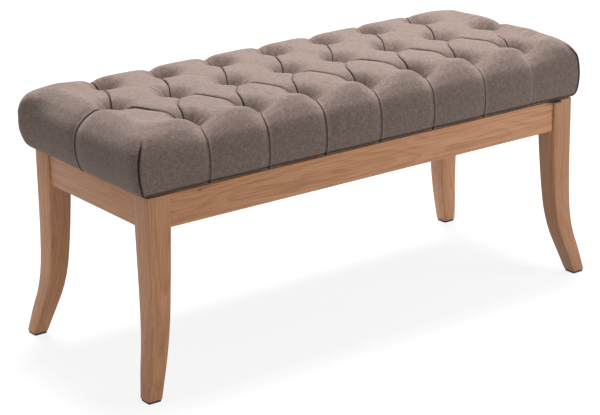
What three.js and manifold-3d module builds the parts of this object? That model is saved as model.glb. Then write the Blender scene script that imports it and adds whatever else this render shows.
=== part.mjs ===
// Tufted upholstered bench on a wooden frame with four sabre legs.
// Millimetres, +Z up, +X along the length. The origin is on the floor under the middle of the seat.

import * as THREE from "three";
import { mergeVertices } from "three/addons/utils/BufferGeometryUtils.js";
import Module from "manifold-3d";

const wasm = await Module();
wasm.setup();

// Fits
const fitGap = 0.3; // clearance between pieces that touch
const drillGap = 0.6; // clearance of a fastener in a drilled hole
const overrun = 2; // how far a cutting solid runs past the face that it cuts

// Frame
const frameLength = 1000; // over the outer faces of the legs, under the seat
const frameDepth = 387;
const frameTop = 369;
const apronHeight = 62.5;
const apronThickness = 20;
const apronSetback = 3.5; // from the outer face of the legs
const arris = 1.8; // eased edge of the frame timbers

// Legs: square in section, tapering, the lower half curving out along the diagonal
const legSide = 47;
const footSide = 29;
const splayLength = 28; // how far the foot stands out past the top of the leg, along X
const splayDepth = 22; // the same along Y
const legFlat = 6; // bevel on the inner corner that faces the hanger bolt
const legFlatRise = 8; // from the underside of the apron to the full bevel
const legSteps = 14;

// Each row: share of the height up to the apron, share of the splay, share from foot side to leg side
const legCurveShares = [
  [0, 1, 0],
  [0.15, 0.66, 0.27],
  [0.3, 0.28, 0.43],
  [0.45, 0.095, 0.58],
  [0.65, 0.022, 0.745],
  [0.82, 0.004, 0.875],
  [1, 0, 1],
];

// Mortise and tenon joints between aprons and legs
const tenonThickness = 10;
const tenonLength = 20;
const tenonShoulder = 10; // above and below the tenon

// Foot glides
const glideHeight = 4;
const glideInset = 1; // from the sides of the foot
const glideCorner = 4;
const glidePinRadius = 1.3;
const glidePinLength = 14;
const glideCornerSteps = 3;

// Corner blocks, glued across the corners inside the frame
const blockHeight = 40;
const blockThickness = 28;
const blockDrop = 2; // below the top of the frame
const blockStandoff = 2; // from the inner corner of the leg

// Hanger bolts and their flange nuts
const boltRadius = 4;
const boltLegDepth = 22; // into the leg, past the bevel
const boltTail = 5; // past the nut
const boltPoint = 5; // length of the tapered point in the leg
const boltChamfer = 1;
const nutAcrossFlats = 13;
const nutHeight = 8;
const nutFlangeRadius = 9;
const nutFlangeHeight = 1.8;

// Seat screws, up through the corner blocks into the seat board
const screwRadius = 2.4;
const screwHeadRadius = 4.8;
const screwHeadHeight = 3;
const screwHeadFlat = 2.4; // radius of the flat of the head
const screwHeadRim = 1; // height of the head's edge
const screwBite = 9; // into the board
const screwOffset = 28; // from the hanger bolt, along the block
const screwTip = 4;

// Centre rail, housed in the long aprons
const railWidth = 45;
const railHeight = 20;
const railHousing = 5;

// Seat board and dust cover
const boardThickness = 12;
const dustThickness = 0.8;
const dustInset = 6; // from the edge of the board

// Seat cover
const coverThickness = 1.2;
const overhangLength = 10; // of the seat past the frame, at each end
const overhangDepth = 2; // of the seat past the frame, front and back
const flangeWidth = 18; // of the cover turned under the board
const cushionHeight = 121; // of the seat's rim over the top of the frame
const seatCrown = 3; // rise of the middle of the seat over its rim
const seatCorner = 24; // radius of the seat's corners, seen from above
const cornerSteps = 2; // facets of that radius
const cornerSectionCount = 6; // of the seat's edge, from the end pleat to the first pleat of a long side

// Tufting: a diamond lattice of three rows, the middle row with one tuft more than the others
const middleTuftCount = 8;
const tuftRowShare = 0.3125; // distance between rows, as a share of the seat's depth
const tuftSink = 30; // of a tuft below the creases
const creaseSink = 11; // of a crease below the crest beside it
const craterRadius = 19;
const creaseWidth = 13;
const gridShares = [0, 0.18, 0.5, 0.82, 1]; // places of the grid lines between two tufts
const pleatNeighbour = 23; // from a pleat to the next grid line, where the side has swelled out
const shoulderShare = 0.45; // place of the extra grid ring between the corner creases and the roll

// Edge roll of the seat between two pleats, from the top down. Inset is from the lower edge of the cover.
const rollTopInset = 45;
const rollTopDrop = 1; // below the top of the seat
const rollEdgeInset = 9;
const rollEdgeDrop = 20;
const sideBulge = 9;
const sideBulgeHeight = 55; // above the lower edge of the cover
const pleatDepth = 9; // how far a pleat is drawn in at the roll and the bulge
const pleatHemShare = 0.15; // share of that depth that is left at the lower edge
const cornerPleatShare = 0.5; // depth of a corner pleat as a share of the others
const cornerInset = 6; // of the corner of the roll's top, past the roll's own inset
const cornerDrop = 6; // of the same corner

// Tuft ties: a disc under the cloth, twine, and a toggle in a recess under the board
const tieDiscRadius = 6;
const tieDiscHeight = 2;
const tieTwineRadius = 1.2;
const tieHoleRadius = 3; // in the board
const foamHoleRadius = 7.5;
const toggleRadius = 6;
const toggleHeight = 2.5;
const toggleRecess = 3.5;

// Facets of the round pieces
const roundSides = 16;
const smallSides = 12;
const tieSides = 6;
const holeSides = 8;
const hexSides = 6;

// Derived places
const halfLength = frameLength / 2;
const halfDepth = frameDepth / 2;
const seatTop = frameTop + cushionHeight;
const apronBottom = frameTop - apronHeight;
const footBottom = glideHeight + fitGap;
const dustBottom = frameTop + fitGap;
const dustTop = dustBottom + dustThickness;
const hemBottom = dustTop + fitGap;
const hemTop = hemBottom + coverThickness;
const boardBottom = hemTop + fitGap;
const boardTop = boardBottom + boardThickness;
const foamBottom = boardTop + fitGap;
const seatLength = frameLength + 2 * overhangLength;
const seatDepth = frameDepth + 2 * overhangDepth;
const tuftPitch = seatLength / middleTuftCount;
const tuftStrips = middleTuftCount - 2; // pitches between the end tufts of the front or back row
const tuftRow = seatDepth * tuftRowShare;
const pleatHem = pleatDepth * pleatHemShare;
const boardRise = (boardTop - hemBottom) / sideBulgeHeight; // share of the way up to the bulge
const pleatAtBoard = THREE.MathUtils.lerp(pleatHem, pleatDepth - sideBulge, boardRise);
const boardClear = coverThickness + fitGap + Math.max(pleatHem, pleatAtBoard);
const boardLength = seatLength - 2 * boardClear;
const boardDepth = seatDepth - 2 * boardClear;
const foamInset = coverThickness + fitGap;
const boardCorner = seatCorner - boardClear;
const blockInner = blockStandoff + blockThickness; // inner face, from the inner corner of the leg
const mergeStep = fitGap / 100; // points nearer than this are one point
const mergeShift = Math.SQRT1_2; // keeps round sizes off the borders between merge steps

// Signs of X and Y in the four quarters, anticlockwise
const quarters = [
  [1, 1],
  [-1, 1],
  [-1, -1],
  [1, -1],
];

const diagonal = new THREE.Vector3(1, 1, 0).normalize(); // outwards through the back right leg
const innerCorner = new THREE.Vector3(halfLength - legSide, halfDepth - legSide, 0);
const boltAxis = innerCorner.clone().setZ(frameTop - blockDrop - blockHeight / 2);
const legBevelDepth = legFlat * Math.SQRT1_2; // from the corner to the bevel, along the diagonal

// Materials, as the pieces look
const wood = new THREE.MeshStandardMaterial({ color: 0xa98260, roughness: 0.55 });
const blockWood = new THREE.MeshStandardMaterial({ color: 0xb99a72, roughness: 0.7 });
const plywood = new THREE.MeshStandardMaterial({ color: 0xc2a67c, roughness: 0.75 });
const linen = new THREE.MeshStandardMaterial({ color: 0x8f7f75, roughness: 0.95 });
const foam = new THREE.MeshStandardMaterial({ color: 0xe6dcb8, roughness: 1 });
const cambric = new THREE.MeshStandardMaterial({ color: 0x1c1b1b, roughness: 1 });
const blackPlastic = new THREE.MeshStandardMaterial({ color: 0x18171a, roughness: 0.6 });
const zincSteel = new THREE.MeshStandardMaterial({ color: 0xb4b6b8, roughness: 0.4, metalness: 0.9 });
const twine = new THREE.MeshStandardMaterial({ color: 0xd8cfbd, roughness: 0.9 });

// A closed geometry as a solid that can be joined and cut.
function solidOf(geometry) {
  const bare = geometry.clone();
  bare.deleteAttribute("normal");
  bare.deleteAttribute("uv");
  const merged = mergeVertices(bare);
  return new wasm.Manifold(
    new wasm.Mesh({
      numProp: 3,
      vertProperties: merged.attributes.position.array,
      triVerts: new Uint32Array(merged.index.array),
    }),
  );
}

// A solid as a geometry with flat facets.
function geometryOf(solid) {
  const mesh = solid.getMesh();
  const indexed = new THREE.BufferGeometry();
  indexed.setAttribute("position", new THREE.BufferAttribute(mesh.vertProperties, 3));
  indexed.setIndex(new THREE.BufferAttribute(mesh.triVerts, 1));
  const facets = indexed.toNonIndexed();
  facets.computeVertexNormals();
  return facets;
}

// A geometry with others joined to it.
function joined(geometry, ...others) {
  const start = solidOf(geometry);
  return geometryOf(others.reduce((solid, other) => solid.add(solidOf(other)), start));
}

// A geometry with others cut from it.
function cut(geometry, ...cutters) {
  const start = solidOf(geometry);
  return geometryOf(cutters.reduce((solid, cutter) => solid.subtract(solidOf(cutter)), start));
}

function named(name, geometry, material) {
  const mesh = new THREE.Mesh(geometry, material);
  mesh.name = name;
  return mesh;
}

// A box between two corners.
function box(low, high) {
  const size = high.clone().sub(low);
  const centre = high.clone().add(low).multiplyScalar(0.5);
  return new THREE.BoxGeometry(size.x, size.y, size.z).translate(centre.x, centre.y, centre.z);
}

// A straight round rod between two points.
function rod(radius, from, to, sides) {
  const along = to.clone().sub(from);
  const centre = to.clone().add(from).multiplyScalar(0.5);
  const turn = new THREE.Quaternion().setFromUnitVectors(
    new THREE.Vector3(0, 1, 0),
    along.clone().normalize(),
  );
  return new THREE.CylinderGeometry(radius, radius, along.length(), sides)
    .applyQuaternion(turn)
    .translate(centre.x, centre.y, centre.z);
}

// A turned piece: the profile's points are radius and distance from a start point along a direction.
function turned(profile, start, direction, sides) {
  const points = profile.map(([radius, along]) => new THREE.Vector2(radius, along));
  const turn = new THREE.Quaternion().setFromUnitVectors(new THREE.Vector3(0, 1, 0), direction);
  return new THREE.LatheGeometry(points, sides)
    .applyQuaternion(turn)
    .translate(start.x, start.y, start.z);
}

// A prism over an outline in the XY plane, from one height to another.
function prism(outline, bottom, top) {
  const shape = new THREE.Shape(outline.map((p) => new THREE.Vector2(p.x, p.y)));
  return new THREE.ExtrudeGeometry(shape, { depth: top - bottom, bevelEnabled: false }).translate(
    0,
    0,
    bottom,
  );
}

// A rectangle about the origin with round corners, anticlockwise.
function roundRectangle(length, depth, radius, steps) {
  return quarters.flatMap(([sideX, sideY], quarter) =>
    Array.from({ length: steps + 1 }, (_, step) => {
      const angle = ((quarter + step / steps) * Math.PI) / 2;
      const x = sideX * (length / 2 - radius) + radius * Math.cos(angle);
      const y = sideY * (depth / 2 - radius) + radius * Math.sin(angle);
      return new THREE.Vector2(x, y);
    }),
  );
}

// A geometry of points and the triangles between them.
function meshGeometry(points, triangles) {
  const geometry = new THREE.BufferGeometry();
  const positions = points.flatMap((point) => point.toArray());
  geometry.setAttribute("position", new THREE.Float32BufferAttribute(positions, 3));
  geometry.setIndex(triangles.flat());
  return geometry;
}

// Triangles of a closed band between two rings of indices, both anticlockwise.
function bandTriangles(lower, upper) {
  return lower.flatMap((_, i) => {
    const next = (i + 1) % lower.length;
    return [
      [lower[i], lower[next], upper[next]],
      [lower[i], upper[next], upper[i]],
    ];
  });
}

// The faces of a flat cap over a ring, anticlockwise as the ring is.
function capTriangles(ring) {
  const contour = ring.map((point) => new THREE.Vector2(point.x, point.y));
  return THREE.ShapeUtils.triangulateShape(contour, []).map((face) => {
    const isTurned = THREE.ShapeUtils.area(face.map((i) => contour[i])) < 0;
    return isTurned ? face.toReversed() : face;
  });
}

// A closed skin over a stack of rings that all have the same number of points, anticlockwise from above.
function loft(rings) {
  const count = rings[0].length;
  const indexRings = rings.map((ring, level) => ring.map((_, i) => level * count + i));
  const top = indexRings.at(-1);
  const triangles = [
    ...capTriangles(rings[0]).map(([a, b, c]) => [c, b, a]),
    ...indexRings.slice(1).flatMap((ring, level) => bandTriangles(indexRings[level], ring)),
    ...capTriangles(rings.at(-1)).map((face) => face.map((i) => top[i])),
  ];
  return meshGeometry(rings.flat(), triangles);
}

// The square section of a leg at one height, its outer corner at (x, y), with eased corners.
function legRing(x, y, side, bevel, height) {
  const points = [
    [x, y - arris],
    [x - arris, y],
    [x - side + arris, y],
    [x - side, y - arris],
    [x - side, y - side + bevel],
    [x - side + bevel, y - side],
    [x - arris, y - side],
    [x, y - side + arris],
  ];
  return points.map(([px, py]) => new THREE.Vector3(px, py, height));
}

// The rings of the leg from the foot to the underside of the apron, then straight up to its top.
function legRings() {
  const curve = new THREE.CatmullRomCurve3(legCurveShares.map((row) => new THREE.Vector3(...row)));
  const rings = curve.getPoints(legSteps).map((share) => {
    const height = THREE.MathUtils.lerp(footBottom, apronBottom, share.x);
    const side = THREE.MathUtils.lerp(footSide, legSide, share.z);
    const x = halfLength + splayLength * share.y;
    const y = halfDepth + splayDepth * share.y;
    return legRing(x, y, side, arris, height);
  });
  rings.push(legRing(halfLength, halfDepth, legSide, legFlat, apronBottom + legFlatRise));
  rings.push(legRing(halfLength, halfDepth, legSide, legFlat, frameTop));
  return rings;
}

// The tenon of a long apron at its right end, or its mortise when grown by a gap.
function longTenon(grow) {
  const centre = halfDepth - apronSetback - apronThickness / 2;
  const shoulder = halfLength - legSide;
  return box(
    new THREE.Vector3(
      shoulder - overrun,
      centre - tenonThickness / 2 - grow,
      apronBottom + tenonShoulder - grow,
    ),
    new THREE.Vector3(
      shoulder + tenonLength + grow,
      centre + tenonThickness / 2 + grow,
      frameTop - tenonShoulder + grow,
    ),
  );
}

// The tenon of an end apron at its back end, or its mortise when grown by a gap.
function endTenon(grow) {
  const centre = halfLength - apronSetback - apronThickness / 2;
  const shoulder = halfDepth - legSide;
  return box(
    new THREE.Vector3(
      centre - tenonThickness / 2 - grow,
      shoulder - overrun,
      apronBottom + tenonShoulder - grow,
    ),
    new THREE.Vector3(
      centre + tenonThickness / 2 + grow,
      shoulder + tenonLength + grow,
      frameTop - tenonShoulder + grow,
    ),
  );
}

// A point on the axis of the hanger bolt, at a distance outwards from the leg's inner corner.
function alongBolt(distance) {
  return boltAxis.clone().addScaledVector(diagonal, distance);
}

// The centre of the foot, at floor level.
function footCentre() {
  const x = halfLength + splayLength - footSide / 2;
  const y = halfDepth + splayDepth - footSide / 2;
  return new THREE.Vector3(x, y, 0);
}

function legGeometry() {
  const boltBore = rod(
    boltRadius + fitGap,
    alongBolt(0),
    alongBolt(legBevelDepth + boltLegDepth + fitGap),
    roundSides,
  );
  const foot = footCentre();
  const pinBore = rod(
    glidePinRadius + fitGap,
    foot,
    foot.clone().setZ(glideHeight + glidePinLength + fitGap),
    holeSides,
  );
  return cut(loft(legRings()), longTenon(fitGap), endTenon(fitGap), boltBore, pinBore);
}

// A pad under the foot with its pin.
function glideGeometry() {
  const side = footSide - 2 * glideInset;
  const foot = footCentre();
  const outline = roundRectangle(side, side, glideCorner, glideCornerSteps);
  const pad = prism(outline, 0, glideHeight).translate(foot.x, foot.y, 0);
  const top = foot.clone().setZ(glideHeight + glidePinLength);
  return joined(pad, rod(glidePinRadius, foot.clone().setZ(glideHeight / 2), top, holeSides));
}

// The place of a seat screw: on the middle line of the block, beside the hanger bolt.
function screwPlace(height) {
  const across = new THREE.Vector3(-1, 1, 0).normalize();
  const middle = alongBolt(-(blockStandoff + blockInner) / 2);
  return middle.addScaledVector(across, screwOffset).setZ(height);
}

// A bevelled block against the inner faces of both aprons.
function blockGeometry() {
  const faceX = halfLength - apronSetback - apronThickness - fitGap;
  const faceY = halfDepth - apronSetback - apronThickness - fitGap;
  const sum = innerCorner.x + innerCorner.y;
  const outerSum = sum - blockStandoff * Math.SQRT2;
  const innerSum = sum - blockInner * Math.SQRT2;
  const outline = [
    new THREE.Vector2(outerSum - faceY, faceY),
    new THREE.Vector2(innerSum - faceY, faceY),
    new THREE.Vector2(faceX, innerSum - faceX),
    new THREE.Vector2(faceX, outerSum - faceX),
  ];
  const top = frameTop - blockDrop;
  const bottom = top - blockHeight;
  const boltHole = rod(
    boltRadius + drillGap,
    alongBolt(-blockInner - overrun),
    alongBolt(overrun),
    roundSides,
  );
  const screwHole = rod(
    screwRadius + fitGap,
    screwPlace(bottom - overrun),
    screwPlace(top + overrun),
    smallSides,
  );
  return cut(prism(outline, bottom, top), boltHole, screwHole);
}

// A hanger bolt: pointed in the leg, chamfered beyond the nut.
function boltGeometry() {
  const start = alongBolt(-blockInner - fitGap - nutHeight - boltTail);
  const length = blockInner + fitGap + nutHeight + boltTail + legBevelDepth + boltLegDepth;
  const profile = [
    [0, 0],
    [boltRadius - boltChamfer, 0],
    [boltRadius, boltChamfer],
    [boltRadius, length - boltPoint],
    [0, length],
  ];
  return turned(profile, start, diagonal, smallSides);
}

// A hexagonal nut with a round flange against the block.
function nutGeometry() {
  const face = -blockInner - fitGap;
  const hexRadius = nutAcrossFlats / Math.sqrt(3);
  const flange = rod(nutFlangeRadius, alongBolt(face), alongBolt(face - nutFlangeHeight), roundSides);
  const hex = rod(hexRadius, alongBolt(face - nutFlangeHeight / 2), alongBolt(face - nutHeight), hexSides);
  const bore = rod(
    boltRadius + fitGap,
    alongBolt(face + overrun),
    alongBolt(face - nutHeight - overrun),
    smallSides,
  );
  return cut(joined(flange, hex), bore);
}

// A pan-head wood screw, pointing up.
function screwGeometry() {
  const seat = frameTop - blockDrop - blockHeight - fitGap;
  const tip = boardBottom + screwBite - seat;
  const profile = [
    [0, -screwHeadHeight],
    [screwHeadFlat, -screwHeadHeight],
    [screwHeadRadius, -screwHeadRim],
    [screwHeadRadius, 0],
    [screwRadius, 0],
    [screwRadius, tip - screwTip],
    [0, tip],
  ];
  return turned(profile, screwPlace(seat), new THREE.Vector3(0, 0, 1), smallSides);
}

// The pieces of one corner, made for the back right and mirrored to the others.
function corner(name, sideX, sideY) {
  const group = new THREE.Group();
  group.add(named("leg_" + name, cornerShapes.leg, wood));
  group.add(named("glide_" + name, cornerShapes.glide, blackPlastic));
  group.add(named("corner_block_" + name, cornerShapes.block, blockWood));
  group.add(named("hanger_bolt_" + name, cornerShapes.bolt, zincSteel));
  group.add(named("flange_nut_" + name, cornerShapes.nut, zincSteel));
  group.add(named("seat_screw_" + name, cornerShapes.screw, zincSteel));
  group.scale.set(sideX, sideY, 1);
  return group;
}

const cornerShapes = {
  leg: legGeometry(),
  glide: glideGeometry(),
  block: blockGeometry(),
  bolt: boltGeometry(),
  nut: nutGeometry(),
  screw: screwGeometry(),
};

// A timber of rectangular section with eased edges, along X, about the origin.
function timber(length, depth, height) {
  const y = depth / 2;
  const z = height / 2;
  const section = [
    [-y, -z + arris],
    [-y + arris, -z],
    [y - arris, -z],
    [y, -z + arris],
    [y, z - arris],
    [y - arris, z],
    [-y + arris, z],
    [-y, z - arris],
  ];
  const shape = new THREE.Shape(section.map(([a, b]) => new THREE.Vector2(a, b)));
  return new THREE.ExtrudeGeometry(shape, { depth: length, bevelEnabled: false })
    .translate(0, 0, -length / 2)
    .rotateX(Math.PI / 2)
    .rotateZ(Math.PI / 2);
}

// A box's copy on the other side of the bench's middle along one axis.
function acrossMiddle(geometry, axis) {
  geometry.computeBoundingBox();
  const { min, max } = geometry.boundingBox;
  const shift = new THREE.Vector3();
  shift[axis] = -min[axis] - max[axis];
  return geometry.clone().translate(...shift);
}

// A geometry's copy turned half round about the vertical axis.
function halfTurn(geometry) {
  return geometry.clone().rotateZ(Math.PI);
}

// The back apron: tenons at both ends, and a housing for the centre rail in its inner face.
function longApronGeometry() {
  const length = 2 * (halfLength - legSide - fitGap);
  const centre = halfDepth - apronSetback - apronThickness / 2;
  const bar = timber(length, apronThickness, apronHeight).translate(0, centre, frameTop - apronHeight / 2);
  const tenon = longTenon(0);
  const inner = centre - apronThickness / 2;
  const housing = box(
    new THREE.Vector3(-railWidth / 2 - fitGap, inner - overrun, frameTop - railHeight - fitGap),
    new THREE.Vector3(railWidth / 2 + fitGap, inner + railHousing + fitGap, frameTop + overrun),
  );
  return cut(joined(bar, tenon, acrossMiddle(tenon, "x")), housing);
}

// The right apron: tenons at both ends.
function endApronGeometry() {
  const length = 2 * (halfDepth - legSide - fitGap);
  const centre = halfLength - apronSetback - apronThickness / 2;
  const bar = timber(length, apronThickness, apronHeight)
    .rotateZ(Math.PI / 2)
    .translate(centre, 0, frameTop - apronHeight / 2);
  const tenon = endTenon(0);
  return joined(bar, tenon, acrossMiddle(tenon, "y"));
}

// The batten between the long aprons, under the middle of the board.
function centreRailGeometry() {
  const reach = halfDepth - apronSetback - apronThickness + railHousing;
  return timber(2 * reach, railWidth, railHeight)
    .rotateZ(Math.PI / 2)
    .translate(0, 0, frameTop - railHeight / 2);
}

function frameGroup() {
  const group = new THREE.Group();
  for (const [name, sideX, sideY] of [
    ["front_left", -1, -1],
    ["front_right", 1, -1],
    ["back_left", -1, 1],
    ["back_right", 1, 1],
  ]) {
    group.add(corner(name, sideX, sideY));
  }
  const longApron = longApronGeometry();
  const endApron = endApronGeometry();
  group.add(named("apron_back", longApron, wood));
  group.add(named("apron_front", halfTurn(longApron), wood));
  group.add(named("apron_right", endApron, wood));
  group.add(named("apron_left", halfTurn(endApron), wood));
  group.add(named("centre_rail", centreRailGeometry(), blockWood));
  return group;
}

// The tufts, row by row from the front: the outer rows have one tuft less than the middle row.
function tuftPlaces() {
  const rows = [
    [-tuftRow, middleTuftCount - 1],
    [0, middleTuftCount],
    [tuftRow, middleTuftCount - 1],
  ];
  return rows.flatMap(([y, count]) =>
    Array.from({ length: count }, (_, i) => new THREE.Vector2((i - (count - 1) / 2) * tuftPitch, y)),
  );
}

const tufts = tuftPlaces();
const outerTuft = (tuftStrips / 2) * tuftPitch; // last tuft of the front and back rows

// The creases run from each tuft of the middle row to its neighbours in the rows beside it.
const creases = tufts
  .filter((tuft) => tuft.y === 0)
  .flatMap((tuft) =>
    tufts
      .filter((other) => other.y !== 0 && Math.abs(other.x - tuft.x) < tuftPitch)
      .map((other) => new THREE.Line3(flat(tuft), flat(other))),
  );

function flat(point) {
  return new THREE.Vector3(point.x, point.y, 0);
}

// A smooth fall from 1 to 0 over about twice the width.
function swell(distance, width) {
  return Math.exp(-((distance / width) ** 2));
}

// Height of the tufted top at a place.
function topHeight(x, y) {
  const place = new THREE.Vector3(x, y, 0);
  const nearest = new THREE.Vector3();
  const toCrease = Math.min(
    ...creases.map((crease) => crease.closestPointToPoint(place, true, nearest).distanceTo(place)),
  );
  const toTuft = Math.min(...tufts.map((tuft) => flat(tuft).distanceTo(place)));
  const crown = seatCrown * (1 - (y / (seatDepth / 2)) ** 2);
  const sink = creaseSink * swell(toCrease, creaseWidth) + tuftSink * swell(toTuft, craterRadius);
  return seatTop + crown - sink;
}

function topPoint(x, y) {
  return new THREE.Vector3(x, y, topHeight(x, y));
}

// One quarter of the seat's lower edge: from the end pleat round the corner to the middle of the back.
// Each column has its place, its outward direction and how strongly it is drawn in as a pleat.
function quarterColumns() {
  const endX = seatLength / 2;
  const sideY = seatDepth / 2;
  const arcX = endX - seatCorner;
  const arcY = sideY - seatCorner;
  const half = Math.SQRT1_2;
  const nearPleat = swell(pleatNeighbour, creaseWidth);
  const columns = [
    { x: endX, y: 0, out: [1, 0], pleat: 1 },
    { x: endX, y: pleatNeighbour, out: [1, 0], pleat: nearPleat },
    { x: endX, y: arcY, out: [1, 0], pleat: 0, corner: true },
    {
      x: arcX + seatCorner * half,
      y: arcY + seatCorner * half,
      out: [half, half],
      pleat: cornerPleatShare,
      corner: true,
    },
    { x: arcX, y: sideY, out: [0, 1], pleat: 0, corner: true },
    { x: outerTuft + pleatNeighbour, y: sideY, out: [0, 1], pleat: nearPleat },
  ];
  for (let strip = tuftStrips / 2; strip > 0; strip -= 1) {
    for (const share of gridShares.slice(0, -1)) {
      const toPleat = Math.min(share, 1 - share) * tuftPitch;
      const x = (strip - share) * tuftPitch;
      columns.push({ x, y: sideY, out: [0, 1], pleat: swell(toPleat, creaseWidth) });
    }
  }
  columns.push({ x: 0, y: sideY, out: [0, 1], pleat: 1 });
  return columns;
}

function mirrored(column, sideX, sideY) {
  const out = [column.out[0] * sideX, column.out[1] * sideY];
  return { ...column, x: column.x * sideX, y: column.y * sideY, out };
}

// All columns round the seat, anticlockwise from the right end pleat.
function allColumns() {
  const quarter = quarterColumns();
  const fromEnd = quarter.slice(0, -1);
  const fromMiddle = quarter.slice(1).reverse();
  return [
    ...fromEnd,
    ...fromMiddle.map((column) => mirrored(column, -1, 1)),
    ...fromEnd.map((column) => mirrored(column, -1, -1)),
    ...fromMiddle.map((column) => mirrored(column, 1, -1)),
  ];
}

// A column's point at an inset from the lower edge and a height, drawn in and down where it is a pleat.
function columnPoint(column, inset, height, drawIn, drop) {
  const shift = inset + drawIn * column.pleat;
  return new THREE.Vector3(
    column.x - column.out[0] * shift,
    column.y - column.out[1] * shift,
    height - drop * column.pleat,
  );
}

// A column's point on the top of the roll, where each corner comes to one point.
function rollTopPoint(column) {
  const height = seatTop - rollTopDrop;
  if (!column.corner) {
    return columnPoint(column, rollTopInset, height, 0, creaseSink);
  }
  return new THREE.Vector3(
    Math.sign(column.x) * (seatLength / 2 - rollTopInset - cornerInset),
    Math.sign(column.y) * (seatDepth / 2 - rollTopInset - cornerInset),
    height - cornerDrop,
  );
}

const columns = allColumns();

// The rings of the seat's edge, from the top of the roll to the lower edge of the cover.
const edgeRings = [
  columns.map(rollTopPoint),
  columns.map((c) => columnPoint(c, rollEdgeInset, seatTop - rollEdgeDrop, pleatDepth, pleatDepth)),
  columns.map((c) => columnPoint(c, -sideBulge, hemBottom + sideBulgeHeight, pleatDepth, 0)),
  columns.map((c) => columnPoint(c, 0, hemBottom, pleatHem, 0)),
];

// A triangle mesh that grows by strips, each of its points kept once.
class Skin {
  constructor() {
    this.points = [];
    this.triangles = [];
    this.keys = new Map();
  }

  pointIndex(point) {
    const cells = point.toArray().map((value) => Math.round(value / mergeStep + mergeShift));
    const key = cells.join();
    if (!this.keys.has(key)) {
      this.keys.set(key, this.points.length);
      this.points.push(point.clone());
    }
    return this.keys.get(key);
  }

  // Adds a triangle, unless two of its points are one.
  add(...points) {
    const corners = points.map((point) => this.pointIndex(point));
    if (new Set(corners).size === corners.length) {
      this.triangles.push(corners);
    }
  }

  // Fills the strip between two lines of points, which may have different counts. Seen from outside,
  // the second line lies to the right of the first.
  bridge(one, two) {
    let i = 0;
    let j = 0;
    while (i < one.length - 1 || j < two.length - 1) {
      const nextOne = i < one.length - 1 ? (i + 1) / (one.length - 1) : Infinity;
      const nextTwo = j < two.length - 1 ? (j + 1) / (two.length - 1) : Infinity;
      const stepOne = nextOne <= nextTwo;
      this.add(one[i], two[j], stepOne ? one[i + 1] : two[j + 1]);
      i += stepOne ? 1 : 0;
      j += stepOne ? 0 : 1;
    }
  }

  // The outward normals at the points.
  normals() {
    const sums = this.points.map(() => new THREE.Vector3());
    for (const corners of this.triangles) {
      const [a, b, c] = corners.map((i) => this.points[i]);
      const face = b.clone().sub(a).cross(c.clone().sub(a));
      corners.forEach((i) => sums[i].add(face));
    }
    return sums.map((sum) => sum.normalize());
  }
}

// The grid of one diamond between four tufts, as lines of points.
function diamondLines(centreX) {
  const left = centreX - tuftPitch / 2;
  return gridShares.map((down) =>
    gridShares.map((up) => topPoint(left + ((up + down) * tuftPitch) / 2, (up - down) * tuftRow)),
  );
}

// The half of a diamond that lies between the middle row and the back row.
function backHalfLines(left) {
  return gridShares.map((down, line) =>
    gridShares
      .slice(0, line + 1)
      .map((up) => topPoint(left + ((up + down) * tuftPitch) / 2, (1 + up - down) * tuftRow)),
  );
}

// The half of a diamond that lies between the front row and the middle row.
function frontHalfLines(left) {
  const turned = backHalfLines(-left - tuftPitch);
  return turned.map((line) => line.map((point) => topPoint(-point.x, -point.y)));
}

function bridgeLines(skin, lines) {
  lines.slice(1).forEach((line, i) => skin.bridge(lines[i], line));
}

// The tufted field inside the outer tufts.
function addField(skin) {
  for (let i = 0; i <= tuftStrips; i += 1) {
    const x = (i - tuftStrips / 2) * tuftPitch;
    bridgeLines(skin, diamondLines(x));
    if (i < tuftStrips) {
      bridgeLines(skin, frontHalfLines(x));
      bridgeLines(skin, backHalfLines(x));
    }
  }
}

// The outer tufts, anticlockwise from the right end.
function borderTufts() {
  const middleRow = tufts.filter((tuft) => tuft.y === 0);
  const backRow = tufts.filter((tuft) => tuft.y > 0);
  const frontRow = tufts.filter((tuft) => tuft.y < 0);
  return [middleRow.at(-1), ...backRow.toReversed(), middleRow[0], ...frontRow];
}

// The extra ring between a corner's crease and the top of the roll.
function shoulderLine(border, rollTop) {
  const last = rollTop.length - 1;
  return rollTop.map((outer, i) => {
    const inner = new THREE.Vector3().lerpVectors(border[0], border.at(-1), i / last);
    const isEnd = i === 0 || i === last;
    const place = inner.lerp(outer, isEnd ? 0 : shoulderShare);
    return topPoint(place.x, place.y);
  });
}

// The edge of the seat, section by section between two neighbouring outer tufts.
function addEdge(skin) {
  const border = borderTufts();
  let start = 0;
  border.forEach((tuft, i) => {
    const next = border[(i + 1) % border.length];
    const isCorner = tuft.y !== next.y;
    const count = isCorner ? cornerSectionCount : gridShares.length - 1;
    const rings = edgeRings.map((ring) =>
      Array.from({ length: count + 1 }, (_, k) => ring[(start + k) % ring.length]),
    );
    const inner = gridShares.map((share) => {
      const place = tuft.clone().lerp(next, share);
      return topPoint(place.x, place.y);
    });
    const shoulder = isCorner ? [shoulderLine(inner, rings[0])] : [];
    bridgeLines(skin, [inner, ...shoulder, ...rings]);
    start += count;
  });
}

// The outside of the cover, down to its lower edge.
function seatSkin() {
  const skin = new Skin();
  addField(skin);
  addEdge(skin);
  return skin;
}

const outside = seatSkin();
const outsideNormals = outside.normals();
const hemIndices = edgeRings.at(-1).map((point) => outside.pointIndex(point));

// The outside's points moved inwards, with the lower edge put where the caller says.
function insetPoints(depth, hemPoints) {
  const points = outside.points.map((point, i) => point.clone().addScaledVector(outsideNormals[i], -depth));
  hemIndices.forEach((index, i) => {
    points[index] = hemPoints[i];
  });
  return points;
}

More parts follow.
